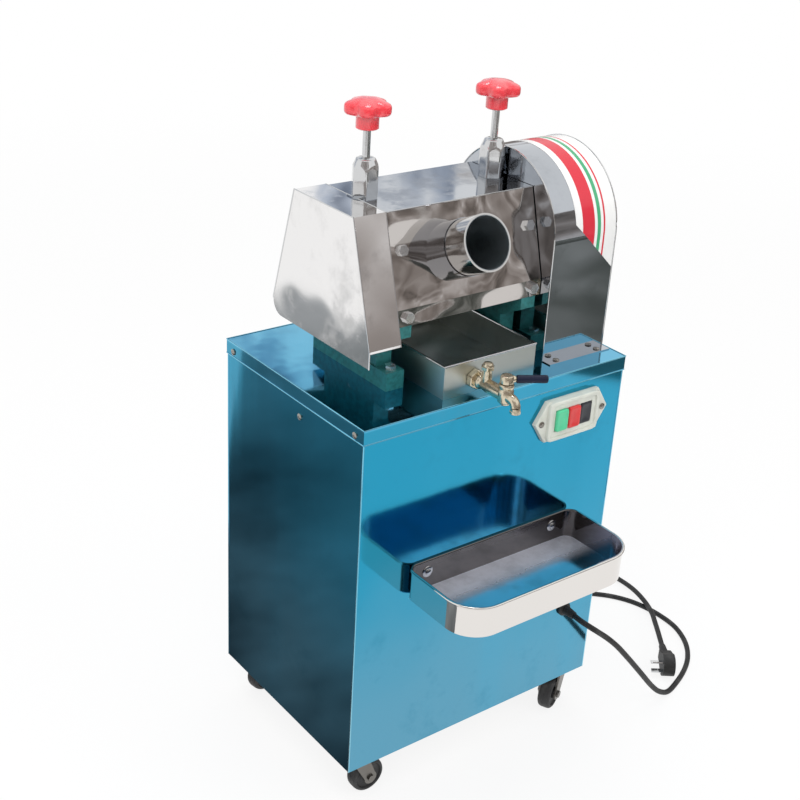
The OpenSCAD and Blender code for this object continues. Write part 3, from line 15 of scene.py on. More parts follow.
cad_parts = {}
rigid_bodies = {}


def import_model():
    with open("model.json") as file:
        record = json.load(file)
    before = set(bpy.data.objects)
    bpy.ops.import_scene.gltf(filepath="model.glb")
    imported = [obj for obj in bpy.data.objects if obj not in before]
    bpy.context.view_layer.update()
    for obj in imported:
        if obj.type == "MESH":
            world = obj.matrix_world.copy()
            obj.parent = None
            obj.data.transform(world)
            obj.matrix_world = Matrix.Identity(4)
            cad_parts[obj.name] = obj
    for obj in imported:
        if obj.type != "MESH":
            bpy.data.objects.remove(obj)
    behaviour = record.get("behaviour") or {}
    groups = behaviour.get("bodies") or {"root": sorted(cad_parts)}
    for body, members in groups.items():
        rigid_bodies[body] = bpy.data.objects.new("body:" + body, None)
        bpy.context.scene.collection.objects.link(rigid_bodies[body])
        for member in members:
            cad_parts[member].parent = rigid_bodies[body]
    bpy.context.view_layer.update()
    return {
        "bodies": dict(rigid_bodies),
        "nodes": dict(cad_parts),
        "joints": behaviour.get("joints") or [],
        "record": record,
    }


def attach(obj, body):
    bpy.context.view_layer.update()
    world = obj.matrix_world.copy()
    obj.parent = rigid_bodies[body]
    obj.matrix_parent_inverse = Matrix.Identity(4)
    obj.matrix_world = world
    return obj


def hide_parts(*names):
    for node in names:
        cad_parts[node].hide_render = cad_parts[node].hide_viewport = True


LOG = logging.getLogger("juicer")
Triple = tuple[float, float, float]
Colour = Triple
ROOT = "cabinet"

# Sizes in the cabinet frame: millimetres from its left edge, its front face and its lower edge.
ORIGIN = np.array([220.0, 95.3, -66.0])
CABINET_W, CABINET_D = 440.0, 320.0
SKIRT_LOW, LID_TOP = 505.0, 525.0
HEAD_MIDDLE, HEAD_TOP = 157.5, 757.0
ARCH_Y, ARCH_Z, ARCH_RADIUS = 149.0, 690.0, 106.0
GLAND_X, GLAND_Z = 382.0, 129.0


def at(x: Any, y: Any, z: Any) -> np.ndarray:
    """Points of the cabinet frame, one or an array of them, in the model's metres."""
    return (np.stack(np.broadcast_arrays(x, y, z), -1) - ORIGIN) / 1000.0


def shade(colour: Colour, factor: float) -> Colour:
    """A colour times a factor."""
    return tuple(v * factor for v in colour)


def srgb(red: int, green: int, blue: int) -> Colour:
    """Linear colour of a display colour given as 0 to 255."""
    return tuple(((v / 255 + 0.055) / 1.055) ** 2.4 if v > 10 else v / 255 / 12.92 for v in (red, green, blue))


def put(name: str, data: bpy.types.ID, frame: Optional[np.ndarray] = None) -> Object:
    """Puts a new object into the scene.

    Args:
        name: its name.
        data: its mesh, camera or lamp.
        frame: its 4 by 4 matrix, if it isn't at the origin.

    Returns:
        The object.
    """
    obj = bpy.data.objects.new(name, data)
    bpy.context.scene.collection.objects.link(obj)
    if frame is not None:
        obj.matrix_world = Matrix(frame.tolist())
    return obj


# Surfaces


@dataclass
class Surface:
    """Points and faces of one surface, before it becomes a mesh.

    Args:
        points: array of shape (n, 3), in metres.
        faces: index tuples into the points.
    """

    points: np.ndarray
    faces: list[tuple[int, ...]]

    @staticmethod
    def join(parts: Iterable["Surface"]) -> "Surface":
        """Several surfaces as one.

        Args:
            parts: the surfaces to put together.

        Returns:
            One surface with all points and faces.
        """
        points, faces, start = [], [], 0
        for part in parts:
            points.append(part.points)
            faces += [tuple(i + start for i in f) for f in part.faces]
            start += len(part.points)
        return Surface(np.concatenate(points), faces)

    def placed(self, frame: np.ndarray) -> "Surface":
        """The surface carried by a 4 by 4 matrix."""
        return Surface(self.points @ frame[:3, :3].T + frame[:3, 3], self.faces)

    def made(self, name: str, material: Material) -> Object:
        """Makes the mesh and puts it into the scene, at the origin.

        Args:
            name: the object's name.
            material: its material.

        Returns:
            The new object.
        """
        mesh = bpy.data.meshes.new(name)
        mesh.from_pydata(self.points.tolist(), [], self.faces)
        mesh.update()
        mesh.materials.append(material)
        return put(name, mesh)

    def piece(self, name: str, finish: "Finish", slot: str, body: str = ROOT, node: Optional[str] = None,
              smooth: float = 35.0) -> Object:
        """Makes a piece of the object, dresses it and lets it ride on a body.

        Args:
            name: the piece's name.
            finish: its finish.
            slot: not used.
            body: the body that carries it.
            node: the solid that it stands for, if there is one.
            smooth: edges that turn by less than this many degrees are shaded smooth.

        Returns:
            The new object.
        """
        obj = self.made(name, finish.material())
        obj.data.shade_smooth()
        obj.data.set_sharp_from_angle(angle=math.radians(smooth))
        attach(obj, body)
        if node:
            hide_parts(node)
        LOG.info("piece %s: %d faces on %s", name, len(self.faces), body)
        return obj


def grid(points: np.ndarray, around: bool = True, closed: bool = False, caps: bool = False) -> Surface:
    """Quads over a grid of points P(i, j), i along the surface and j around it.

    Args:
        points: array of shape (rows, columns, 3).
        around: the last column joins the first.
        closed: the last row joins the first.
        caps: close the first and last row with one face each.

    Returns:
        The surface; its faces point outwards where j runs counter-clockwise seen against the row direction.
    """
    rows, cols = points.shape[:2]
    i = np.arange(rows if closed else rows - 1)[:, None]
    j = np.arange(cols if around else cols - 1)[None, :]
    i2, j2 = (i + 1) % rows, (j + 1) % cols
    quads = np.stack(np.broadcast_arrays(i * cols + j, i * cols + j2, i2 * cols + j2, i2 * cols + j), -1)
    faces = [tuple(q) for q in quads.reshape(-1, 4).tolist()]
    if caps:
        faces.append(tuple(range(cols - 1, -1, -1)))
        faces.append(tuple(range((rows - 1) * cols, rows * cols)))
    return Surface(points.reshape(-1, 3), faces)


def axes(origin: Sequence[float], along: Sequence[float], up: Sequence[float] = (0, 0, 1)) -> np.ndarray:
    """Frame whose third axis runs along a direction and whose second is nearest to up.

    Args:
        origin: its place.
        along: its third axis.
        up: what its second axis leans to.

    Returns:
        A 4 by 4 matrix.
    """
    c = np.asarray(along, float) / np.linalg.norm(along)
    a = np.cross(np.asarray(up, float), c)
    a /= np.linalg.norm(a)
    m = np.eye(4)
    m[:3, 0], m[:3, 1], m[:3, 2], m[:3, 3] = a, np.cross(c, a), c, origin
    return m


def upright(x: float, y: float, z: float) -> np.ndarray:
    """Frame that stands upright at a point of the cabinet frame."""
    return axes(at(x, y, z), (0, 0, 1), (0, 1, 0))


def angles(sides: int) -> np.ndarray:
    """Evenly spaced angles of a full turn."""
    return np.linspace(0, 2 * np.pi, sides, endpoint=False)


def rings(radius: np.ndarray, height: np.ndarray, frame: np.ndarray) -> Surface:
    """Closed surface P(s, a) = (r(s, a) cos a, r(s, a) sin a, h(s)).

    Args:
        radius: millimetres, a row for each height and a column for each angle.
        height: millimetres, from the lower end to the upper one.
        frame: where the axis stands.

    Returns:
        The surface, with a face at each end.
    """
    a = angles(radius.shape[1])
    points = np.stack([radius * np.cos(a), radius * np.sin(a), np.broadcast_to(height[:, None], radius.shape)], -1)
    return grid(points / 1000, caps=True).placed(frame)


def revolve(profile: Sequence[tuple[float, float]], frame: np.ndarray, sides: int = 40,
            shape: Optional[np.ndarray] = None) -> Surface:
    """Turned surface of radius and height pairs in millimetres, low end first, times a shape factor a column."""
    r, h = np.asarray(profile, float).T
    return rings(r[:, None] * (np.ones(sides) if shape is None else shape), h, frame)


def hexagon(turn: float = 0.0, sides: int = 72, power: float = 24.0) -> np.ndarray:
    """Factor a column of a hexagon with soft corners, 1 over the power mean of its face cosines; 1 is at the flats."""
    c = np.abs(np.cos(angles(sides)[:, None] - turn - np.arange(3)[None, :] * np.pi / 3))
    return 1 / (c ** power).sum(1) ** (1 / power)


def superellipse(sides: int, width: float, height: float, power: float = 5.0) -> np.ndarray:
    """Rounded rectangle |x/w|^p + |y/h|^p = 1 as points around its middle.

    Args:
        sides: number of points.
        width: half width.
        height: half height.
        power: the higher it is, the squarer the corners.

    Returns:
        Array of shape (sides, 2).
    """
    a = angles(sides) + np.pi / sides
    c, s = np.cos(a), np.sin(a)
    r = (np.abs(c / width) ** power + np.abs(s / height) ** power) ** (-1 / power)
    return np.stack([r * c, r * s], -1)


def smooth_path(points: Sequence[Sequence[float]], steps: int, closed: bool = False) -> np.ndarray:
    """Catmull-Rom curve through points: each span is a cubic whose end slopes come from its neighbours.

    Args:
        points: array of shape (n, 3).
        steps: points made for each span.
        closed: the last point joins the first.

    Returns:
        Array of points along the curve.
    """
    p = np.asarray(points, float)
    p = np.concatenate([p[-1:], p, p[:2]]) if closed else np.concatenate([p[:1], p, p[-1:]])
    t = np.linspace(0, 1, steps, endpoint=False)[None, :, None]
    a, b, c, d = (q[:, None, :] for q in (p[:-3], p[1:-2], p[2:-1], p[3:]))
    line = (2 * b + (c - a) * t + (2 * a - 5 * b + 4 * c - d) * t ** 2 + (3 * b - a - 3 * c + d) * t ** 3) / 2
    line = line.reshape(-1, 3)
    return line if closed else np.concatenate([line, p[-1:]])


def tube(path: np.ndarray, radius: Any, sides: int = 12, closed: bool = False) -> Surface:
    """Tube P(s, a) = C(s) + r(s) (cos a U(s) + sin a V(s)), with U level and V square to U and the path.

    Args:
        path: points C in metres.
        radius: radius in metres, one value or one a point.
        sides: columns around.
        closed: the path is a loop.

    Returns:
        The surface, with closed ends if the path is open.
    """
    if closed:
        t = np.roll(path, -1, 0) - np.roll(path, 1, 0)
    else:
        t = np.gradient(path, axis=0)
    t /= np.linalg.norm(t, axis=1, keepdims=True)
    up = np.where(np.abs(t[:, 2:]) > 0.99, [[0.0, 1.0, 0.0]], [[0.0, 0.0, 1.0]])
    u = np.cross(t, up)
    u /= np.linalg.norm(u, axis=1, keepdims=True)
    v = np.cross(t, u)
    a = angles(sides)[None, :, None]
    r = np.broadcast_to(np.asarray(radius, float), (len(path),))[:, None, None]
    around = path[:, None, :] + r * (np.cos(a) * u[:, None, :] + np.sin(a) * v[:, None, :])
    return grid(around, closed=closed, caps=not closed)


# Shader graphs


class Val:
    """A socket of a material, with arithmetic that adds Math nodes."""

    def __init__(self, graph: "Graph", socket: bpy.types.NodeSocket) -> None:
        """Wraps one output socket of a graph."""
        self.graph = graph
        self.socket = socket

    def _math(self, operation: str, a: Any, b: Any) -> "Val":
        """Adds one Math node for two values."""
        return self.graph.node("ShaderNodeMath", {"operation": operation}, {0: a, 1: b})

    def __add__(self, other: Any) -> "Val":
        """Sum."""
        return self._math("ADD", self, other)

    def __sub__(self, other: Any) -> "Val":
        """Difference."""
        return self._math("SUBTRACT", self, other)

    def __rsub__(self, other: Any) -> "Val":
        """Difference from a number."""
        return self._math("SUBTRACT", other, self)

    def __mul__(self, other: Any) -> "Val":
        """Product."""
        return self._math("MULTIPLY", self, other)

    def over(self, other: float) -> "Val":
        """1 where the value is over a number, else 0."""
        return self._math("GREATER_THAN", self, other)

    def at_least(self, other: Any) -> "Val":
        """The larger of this and another value or number."""
        return self._math("MAXIMUM", self, other)

    def step(self, low: float, high: float) -> "Val":
        """0 below low, 1 above high and smooth between."""
        return self.graph.node("ShaderNodeMapRange", {"interpolation_type": "SMOOTHSTEP"},
                               {"Value": self, "From Min": low, "From Max": high})


class Graph:
    """Node tree of one material or world, built from expressions."""

    def __init__(self, owner: bpy.types.ID) -> None:
        """Empties the owner's tree and gives it an output node.

        Args:
            owner: the material or world.
        """
        owner.use_nodes = True
        kind = "World" if isinstance(owner, bpy.types.World) else "Material"
        self.owner = owner
        self.tree = owner.node_tree
        self.tree.nodes.clear()
        self.out = self.tree.nodes.new(f"ShaderNodeOutput{kind}")

    @classmethod
    def material(cls, name: str) -> "Graph":
        """The graph of a new material."""
        return cls(bpy.data.materials.new(name))

    def surface(self, shader: Val) -> bpy.types.ID:
        """Ends the graph with a shader and returns the finished material or world."""
        self.tree.links.new(shader.socket, self.out.inputs["Surface"])
        return self.owner

    def node(self, kind: str, settings: dict[str, Any], sockets: dict[Any, Any], output: Any = 0) -> Val:
        """Adds a node: its settings first, then the values or links of its sockets.

        Args:
            kind: the node's type.
            settings: attributes of the node; "stops" fills a colour ramp.
            sockets: input names or numbers with a value or a Val.
            output: name or number of the output to return.

        Returns:
            The output, ready for expressions.
        """
        made = self.tree.nodes.new(kind)
        for key, value in settings.items():
            if key == "stops":
                self._ramp(made.color_ramp, value)
            else:
                setattr(made, key, value)
        for key, value in sockets.items():
            if isinstance(value, Val):
                self.tree.links.new(value.socket, made.inputs[key])
            else:
                made.inputs[key].default_value = value
        return Val(self, made.outputs[output])

    @staticmethod
    def _ramp(ramp: bpy.types.ColorRamp, stops: Sequence[tuple[float, Colour]]) -> None:
        """Fills a colour ramp.

        Args:
            ramp: the ramp.
            stops: places from 0 to 1 with their colours.
        """
        while len(ramp.elements) < len(stops):
            ramp.elements.new(0.5)
        for element, (place, colour) in zip(ramp.elements, stops):
            element.position = place
            element.color = (*colour, 1.0)

    def place(self) -> Val:
        """Object coordinates, which are the model's metres."""
        return self.node("ShaderNodeTexCoord", {}, {}, "Object")

    def axis(self, name: str) -> Val:
        """One coordinate of the place, X, Y or Z."""
        return self.node("ShaderNodeSeparateXYZ", {}, {0: self.place()}, name)

    def noise(self, scale: float, detail: float = 2.0, stretch: Triple = (1, 1, 1), rough: float = 0.5) -> Val:
        """Noise from 0 to 1 over the place: waves in a metre, octaves, stretch of each axis, weight of fine octaves."""
        where = self.node("ShaderNodeMapping", {}, {"Vector": self.place(), "Scale": stretch})
        return self.node("ShaderNodeTexNoise", {}, {"Vector": where, "Scale": scale, "Detail": detail,
                                                    "Roughness": rough})

    def blend(self, factor: Any, a: Any, b: Any) -> Val:
        """Colour mix from a to b."""
        a, b = ((*v, 1.0) if isinstance(v, tuple) else v for v in (a, b))
        return self.node("ShaderNodeMix", {"data_type": "RGBA"}, {0: factor, 6: a, 7: b}, 2)

    def length(self, vector: Val) -> Val:
        """Length of a vector."""
        return self.node("ShaderNodeVectorMath", {"operation": "LENGTH"}, {0: vector}, "Value")

    def bump(self, height: Val, depth: float) -> Val:
        """Bump of a height from 0 to 1 that is depth metres high."""
        return self.node("ShaderNodeBump", {}, {"Height": height, "Distance": depth, "Strength": 1.0})

    def principled(self, **sockets: Any) -> Material:
        """Ends the graph with a Principled shader; underscores in names stand for spaces."""
        named = {k.replace("_", " "): (*v, 1.0) if isinstance(v, tuple) else v for k, v in sockets.items()}
        return self.surface(self.node("ShaderNodeBsdfPrincipled", {}, named))


# Finishes

MADE: dict["Finish", Material] = {}


class Finish:
    """A finish that makes its material once."""

    def material(self) -> Material:
        """Makes the material at the first call.

        Returns:
            The material.
        """
        if self not in MADE:
            MADE[self] = self.build(Graph.material(f"{type(self).__name__}_{len(MADE) + 1:02d}"))
        return MADE[self]

    def build(self, g: Graph) -> Material:
        """Builds the material in an empty graph."""
        raise NotImplementedError


@dataclass(frozen=True)
class BrightSheet(Finish):
    """Polished stainless sheet: waves from rolling, finger smears and fine scratches."""

    tint: Colour = (0.56, 0.545, 0.53)
    rough: float = 0.06
    wave: float = 0.0007
    waves: float = 9.0
    smear: float = 0.12

    def build(self, g: Graph) -> Material:
        """Metal whose tone and roughness follow smears, over a shallow wave bump.

        Args:
            g: an empty graph.

        Returns:
            The material.
        """
        smears = g.noise(14, 4, rough=0.65).step(0.5, 0.75)
        scratch = g.noise(60, 3, (1, 1, 14)).step(0.62, 0.7)
        return g.principled(Base_Color=g.blend(smears, self.tint, shade(self.tint, 0.84)), Metallic=1.0,
                            Roughness=smears * self.smear + scratch * 0.05 + self.rough,
                            Normal=g.bump(g.noise(self.waves, 0.4), self.wave))


@dataclass(frozen=True)
class TraySteel(Finish):
    """Bright tray sheet; its inner walls carry painted shade, darkest towards the back, and a bluish painted reflection
    of the blue panel at the front; cups scour its floor, and a less metallic, rougher band along its back is a painted
    reflection of the back wall.
    """

    outer: Colour
    inner: Colour
    front: Colour
    floor: Colour
    middle: float
    corner: Triple
    bend: float
    sheet: float

    def build(self, g: Graph) -> Material:
        """The distance from the rounded outline tells the inside, the height its floor, which is paler and rougher.

        Args:
            g: an empty graph.

        Returns:
            The material.
        """
        low = 1 - g.axis("Z").step(self.corner[2] + 0.00005, self.corner[2] + 0.0003)
        x, y = g.axis("X") - self.middle, g.axis("Y")
        side = (x.at_least(0 - x) - (self.corner[0] - self.middle)).at_least(0)
        ahead = (self.corner[1] - y).at_least(0)
        out = g.length(g.node("ShaderNodeCombineXYZ", {}, {0: side, 1: ahead}))
        inside = 1 - out.step(self.bend - self.sheet * 0.8, self.bend - self.sheet * 0.4)
        stain = g.noise(22, 5, rough=0.65).step(0.4, 0.7)
        scour = g.blend(stain, self.floor, shade(self.floor, 0.76))
        back = y.step(self.corner[1] - 0.02, self.corner[1] + 0.07)
        # Inner walls: painted shade, darkest towards the back; bluish at the front as a painted reflection of the blue
        # panel.
        walls_with_painted_shade = g.blend(inside, self.outer, g.blend(back, self.front, self.inner))
        floor = low * inside
        # Less metallic, rougher band along the back: painted reflection of the back wall.
        painted_back_reflection = floor * (y + stain * 0.003).step(self.corner[1] + 0.024, self.corner[1] + 0.06)
        return g.principled(Base_Color=g.blend(floor, walls_with_painted_shade, scour), Metallic=1 - painted_back_reflection * 0.42,
                            Roughness=floor * 0.08 + painted_back_reflection * 0.2 + stain * 0.05 + 0.05,
                            Normal=g.bump(g.noise(10, 0.5), 0.0025))


@dataclass(frozen=True)
class TubeSteel(Finish):
    """Turned steel of the feed tube: bright outside, dull and stained by juice inside."""

    tint: Colour
    base: Triple = tuple(at(177, 77.28, 698))
    tilt: float = 25.0
    inside: float = 0.0336

    def build(self, g: Graph) -> Material:
        """The distance from the tube's axis tells the inside; rings and stains vary the metal.

        Args:
            g: an empty graph.

        Returns:
            The material.
        """
        off = g.node("ShaderNodeVectorMath", {"operation": "SUBTRACT"}, {0: g.place(), 1: self.base})
        turned = g.node("ShaderNodeMapping", {}, {"Vector": off, "Rotation": (math.radians(self.tilt - 90), 0, 0)})
        flat = g.node("ShaderNodeVectorMath", {"operation": "MULTIPLY"}, {0: turned, 1: (1, 1, 0)})
        bright = g.length(flat).step(self.inside, self.inside + 0.0004)
        stain = g.noise(26, 4, rough=0.6).step(0.35, 0.75)
        dull = g.blend(stain, (0.42, 0.47, 0.50), (0.24, 0.28, 0.30))
        marks = g.noise(240, 2, (1, 1, 5))
        return g.principled(Base_Color=g.blend(bright, dull, self.tint), Metallic=1.0,
                            Roughness=(1 - bright) * 0.42 + marks * 0.06 + 0.07,
                            Normal=g.bump(marks, 0.00002))


@dataclass(frozen=True)
class FilmedSheet(Finish):
    """Bright sheet under a clear blue film with faint pull lines; its tone blends by height as painted light: paler
    towards the floor as a painted reflection on the panels, lighter on the lid's top face.
    """

    deep: Colour
    pale: Colour
    low: float = 0.07
    high: float = 0.45
    rough: float = 0.085
    drift: float = 0.3

    def build(self, g: Graph) -> Material:
        """Tinted metal; height blends pale to deep as painted light, long vertical noise gives the pull lines.

        Args:
            g: an empty graph.

        Returns:
            The material.
        """
        lines = g.noise(7, 3, (1, 1, 0.12))
        cloud = g.noise(3.2, 3)
        # Painted light: the tone follows height, paler low on the panels as a painted reflection of the floor and
        # lighter on the lid's top.
        up = (g.axis("Z") + (cloud - 0.5) * self.drift).step(self.low, self.high)
        body = g.blend(up, self.pale, self.deep)
        streak = g.blend(lines.step(0.45, 0.8) * 0.3, body, tuple(min(1.0, v * 1.25 + 0.004) for v in self.deep))
        worn = g.blend(g.noise(16, 4, rough=0.7).step(0.5, 0.8) * 0.35, streak, shade(self.deep, 0.72))
        specks = g.noise(420, 1).step(0.72, 0.78)
        return g.principled(Base_Color=worn, Metallic=1.0, Coat_Weight=lines.step(0.3, 0.7) * 0.1 + 0.16,
                            Coat_Roughness=0.03, Roughness=cloud * 0.06 + specks * 0.1 + self.rough - 0.03,
                            Normal=g.bump(lines * 0.7 + g.noise(2.3, 1), 0.0012))


@dataclass(frozen=True)
class Gloss(Finish):
    """Moulded glossy plastic with a slight mottle and orange peel."""

    colour: Colour
    rough: float = 0.22
    coat: float = 0.4
    shine: float = 0.5
    coat_ior: float = 1.5
    coat_rough: float = 0.08
    peel: float = 0.00006

    def build(self, g: Graph) -> Material:
        """Tone and roughness follow a fine mottle.

        Args:
            g: an empty graph.

        Returns:
            The material.
        """
        mottle = g.noise(55, 3)
        return g.principled(Base_Color=g.blend(mottle.step(0.3, 0.7), shade(self.colour, 0.9), self.colour),
                            Roughness=mottle * 0.12 + self.rough - 0.06, Coat_Weight=self.coat, Coat_IOR=self.coat_ior,
                            Coat_Roughness=self.coat_rough, Specular_IOR_Level=self.shine,
                            Normal=g.bump(g.noise(380, 1), self.peel))


@dataclass(frozen=True)
class Matte(Finish):
    """Matt rubber or plastic with dust in a fine grain."""

    colour: Colour
    dust: Colour = (0.16, 0.155, 0.15)
    rough: float = 0.55

    def build(self, g: Graph) -> Material:
        """Dust gathers where a soft noise is high; a fine grain breaks the surface.

        Args:
            g: an empty graph.

        Returns:
            The material.
        """
        grain = g.noise(900, 2)
        dust = g.noise(38, 4).step(0.5, 0.85)
        return g.principled(Base_Color=g.blend(dust * 0.35, self.colour, self.dust),
                            Roughness=grain * 0.16 + self.rough - 0.08, Normal=g.bump(grain, 0.00012))


@dataclass(frozen=True)
class Plated(Finish):
    """Plated or turned steel with fine marks around it and a little tarnish."""

    tint: Colour
    rough: float = 0.18
    tarnish: Colour = (0.22, 0.19, 0.16)
    wear: float = 0.35

    def build(self, g: Graph) -> Material:
        """Metal whose tarnish follows a coarse noise and whose marks follow a stretched one.

        Args:
            g: an empty graph.

        Returns:
            The material.
        """
        spots = g.noise(70, 4, rough=0.6).step(0.52, 0.78)
        marks = g.noise(300, 2, (1, 1, 6))
        return g.principled(Base_Color=g.blend(spots * self.wear, self.tint, self.tarnish), Metallic=1.0,
                            Roughness=marks * 0.1 + spots * 0.15 + self.rough - 0.05,
                            Normal=g.bump(marks, 0.00003))


@dataclass(frozen=True)
class CastPaint(Finish):
    """Enamel on rough castings: darker hollows and a few rubbed spots."""

    colour: Colour
    rubbed: Colour = (0.30, 0.30, 0.29)

    def build(self, g: Graph) -> Material:
        """Sand texture under paint; the rubbed spots are where a coarser noise is high.

        Args:
            g: an empty graph.

        Returns:
            The material.
        """
        sand = g.noise(140, 4, rough=0.6)
        rub = g.noise(30, 4, rough=0.7).step(0.66, 0.74)
        paint = g.blend(sand.step(0.3, 0.65), shade(self.colour, 0.62), self.colour)
        return g.principled(Base_Color=g.blend(rub, paint, self.rubbed), Metallic=rub * 0.7,
                            Roughness=sand * 0.25 + 0.26, Normal=g.bump(sand, 0.0007))


@dataclass(frozen=True)
class Decal(Finish):
    """White vinyl with plain bands: places across it with their colours."""

    bands: tuple[tuple[float, float, Colour], ...]
    ground: Colour = (0.80, 0.80, 0.79)
    soft: float = 0.0004

    def build(self, g: Graph) -> Material:
        """Each band is the product of two steps; scuffs dull the vinyl.

        Args:
            g: an empty graph.

        Returns:
            The material.
        """
        where = g.axis("X")
        scuff = g.noise(45, 4).step(0.5, 0.8)
        colour = g.blend(scuff * 0.3, self.ground, shade(self.ground, 0.85))
        for low, high, tone in self.bands:
            inside = where.step(low - self.soft, low + self.soft) * (1 - where.step(high - self.soft, high + self.soft))
            colour = g.blend(inside, colour, tone)
        return g.principled(Base_Color=colour, Roughness=scuff * 0.2 + 0.3, Coat_Weight=0.3, Coat_Roughness=0.1,
                            Normal=g.bump(g.noise(30, 1), 0.0002))


# Panels: paler towards the floor, a painted reflection of the floor.
BLUE = FilmedSheet(deep=srgb(34, 152, 188), pale=srgb(94, 162, 190))
# Lid: its top face lighter than its skirt, painted light on the upward face.
LID_LIT_TOP = FilmedSheet(srgb(84, 176, 212), srgb(46, 152, 186), at(0, 0, 521)[2], at(0, 0, 524)[2], 0.06, 0.0)
# Paler copy of the film for the folded edges: painted highlight along the bends.
EDGE_HIGHLIGHT_BLUE = FilmedSheet(srgb(120, 196, 222), srgb(150, 210, 230))
STEEL = BrightSheet()
# Lighter copy of the stainless for the end cover: painted light.
LIT_CAP_STEEL = BrightSheet(tint=(0.86, 0.85, 0.845), wave=0.003, waves=8.0)
COOL_STEEL = BrightSheet(tint=(0.50, 0.525, 0.56), wave=0.0016, waves=8.0)
WAVY_STEEL = BrightSheet(tint=(0.56, 0.53, 0.51), rough=0.06, wave=0.017, waves=12.0)
DULL_STEEL = BrightSheet(tint=(0.60, 0.63, 0.60), rough=0.36, wave=0.0005)
# Second and third tones: painted shade on the inner walls and a painted reflection of the blue panel on the inner front
# wall; the floor's band along the back is a painted reflection.
TRAY_STEEL = TraySteel((0.78, 0.75, 0.72), (0.15, 0.14, 0.135), (0.50, 0.50, 0.60), (0.74, 0.76, 0.86),
                       at(224.5, 0, 0)[0], tuple(at(326, -85.4, 262.2)), 0.045, 0.0012)
FEED_STEEL = TubeSteel((0.56, 0.55, 0.54))
# Darker copy of the tube steel for the sleeve: painted shade.
SHADED_SLEEVE_STEEL = TubeSteel((0.36, 0.365, 0.385))
CHROME = Plated((0.64, 0.645, 0.65), 0.10, wear=0.15)
# Lighter copy of the chrome for the bolts: painted highlight.
LIT_BOLT_CHROME = Plated((0.86, 0.88, 0.90), 0.24, wear=0.15)
BRASS = Plated((0.70, 0.62, 0.47), 0.24, tarnish=(0.20, 0.15, 0.09), wear=0.75)
ZINC = Plated((0.20, 0.19, 0.175), 0.34)
SCREW = Plated((0.34, 0.32, 0.29), 0.26)
TURNED = Plated((0.48, 0.48, 0.49), 0.25)
BRONZE = Plated((0.60, 0.40, 0.18), 0.3)
FRAME_GREEN = CastPaint((0.032, 0.22, 0.22))
GREY_CAST = CastPaint((0.11, 0.12, 0.13))
RED = Gloss((0.84, 0.012, 0.03), 0.24, 1.0, 0.5, 1.85, 0.3, 0.00002)
IVORY = Gloss((0.66, 0.68, 0.61), 0.3, 0.15)
GREEN = Gloss((0.08, 0.60, 0.31), 0.3, 0.2)
BUTTON_RED = Gloss((0.70, 0.03, 0.03), 0.3, 0.2)
BUTTON_BLACK = Gloss((0.02, 0.022, 0.03), 0.35, 0.2)
GRIP = Gloss((0.006, 0.009, 0.028), 0.45, 0.0, 0.3)
BLACK = Matte((0.012, 0.012, 0.012))
WHEEL = Matte((0.02, 0.02, 0.021))

NODE_FINISH: dict[Finish, str] = {
    BLUE: "front_panel right_panel left_panel rear_panel",
    LID_LIT_TOP: "top_cover",
    STEEL: "base_plate outlet_chute",
    LIT_CAP_STEEL: "left_cover",
    COOL_STEEL: "top_plate rear_cover gear_housing",
    WAVY_STEEL: "front_cover",
    DULL_STEEL: "juice_trough",
    TRAY_STEEL: "cup_tray",
    FEED_STEEL: "feed_tube",
    SHADED_SLEEVE_STEEL: "feed_sleeve",
    CHROME: "hex_sleeves left_screw right_screw plug_pins",
    LIT_BOLT_CHROME: "hex_bolts",
    SCREW: "panel_screws",
    ZINC: "caster_plates fork_front_left fork_front_right fork_rear_left fork_rear_right",
    TURNED: "tie_bars bearing_blocks upper_roller front_roller rear_roller upper_gear front_gear rear_gear bull_gear"
            " pinion_shaft",
    BRONZE: "bushes",
    FRAME_GREEN: "left_frame right_frame",
    GREY_CAST: "motor_body large_pulley motor_pulley",
    BRASS: "tap_body tap_lever",
    RED: "left_knob right_knob",
    IVORY: "switch_plate",
    GREEN: "green_button",
    BUTTON_RED: "red_button",
    BUTTON_BLACK: "black_button",
    GRIP: "lever_grip",
    BLACK: "drive_belt cord_gland power_cord plug_body",
    WHEEL: "wheel_front_left wheel_front_right wheel_rear_left wheel_rear_right",
}


# Scene


@dataclass
class View:
    """Camera at the photograph's angle and size."""

    lens: float = 61.07
    sensor: float = 36.0
    far: float = 50.0
    azimuth: float = -38.346
    elevation: float = 25.724
    roll: float = 3.382
    place: np.ndarray = field(default_factory=lambda: at(-866.13, -1159.64, 1265.82))

    def build(self) -> None:
        """Makes the camera: its third axis points back along azimuth and elevation, then it rolls."""
        a, e, r = (math.radians(v) for v in (self.azimuth, self.elevation, self.roll))
        m = axes(self.place, (math.sin(a) * math.cos(e), -math.cos(a) * math.cos(e), math.sin(e)))
        m[:3, :2] = m[:3, :2] @ [[math.cos(r), -math.sin(r)], [math.sin(r), math.cos(r)]]
        data = bpy.data.cameras.new("view")
        data.lens, data.sensor_width, data.clip_end = self.lens, self.sensor, self.far
        bpy.context.scene.camera = put("view", data, m)


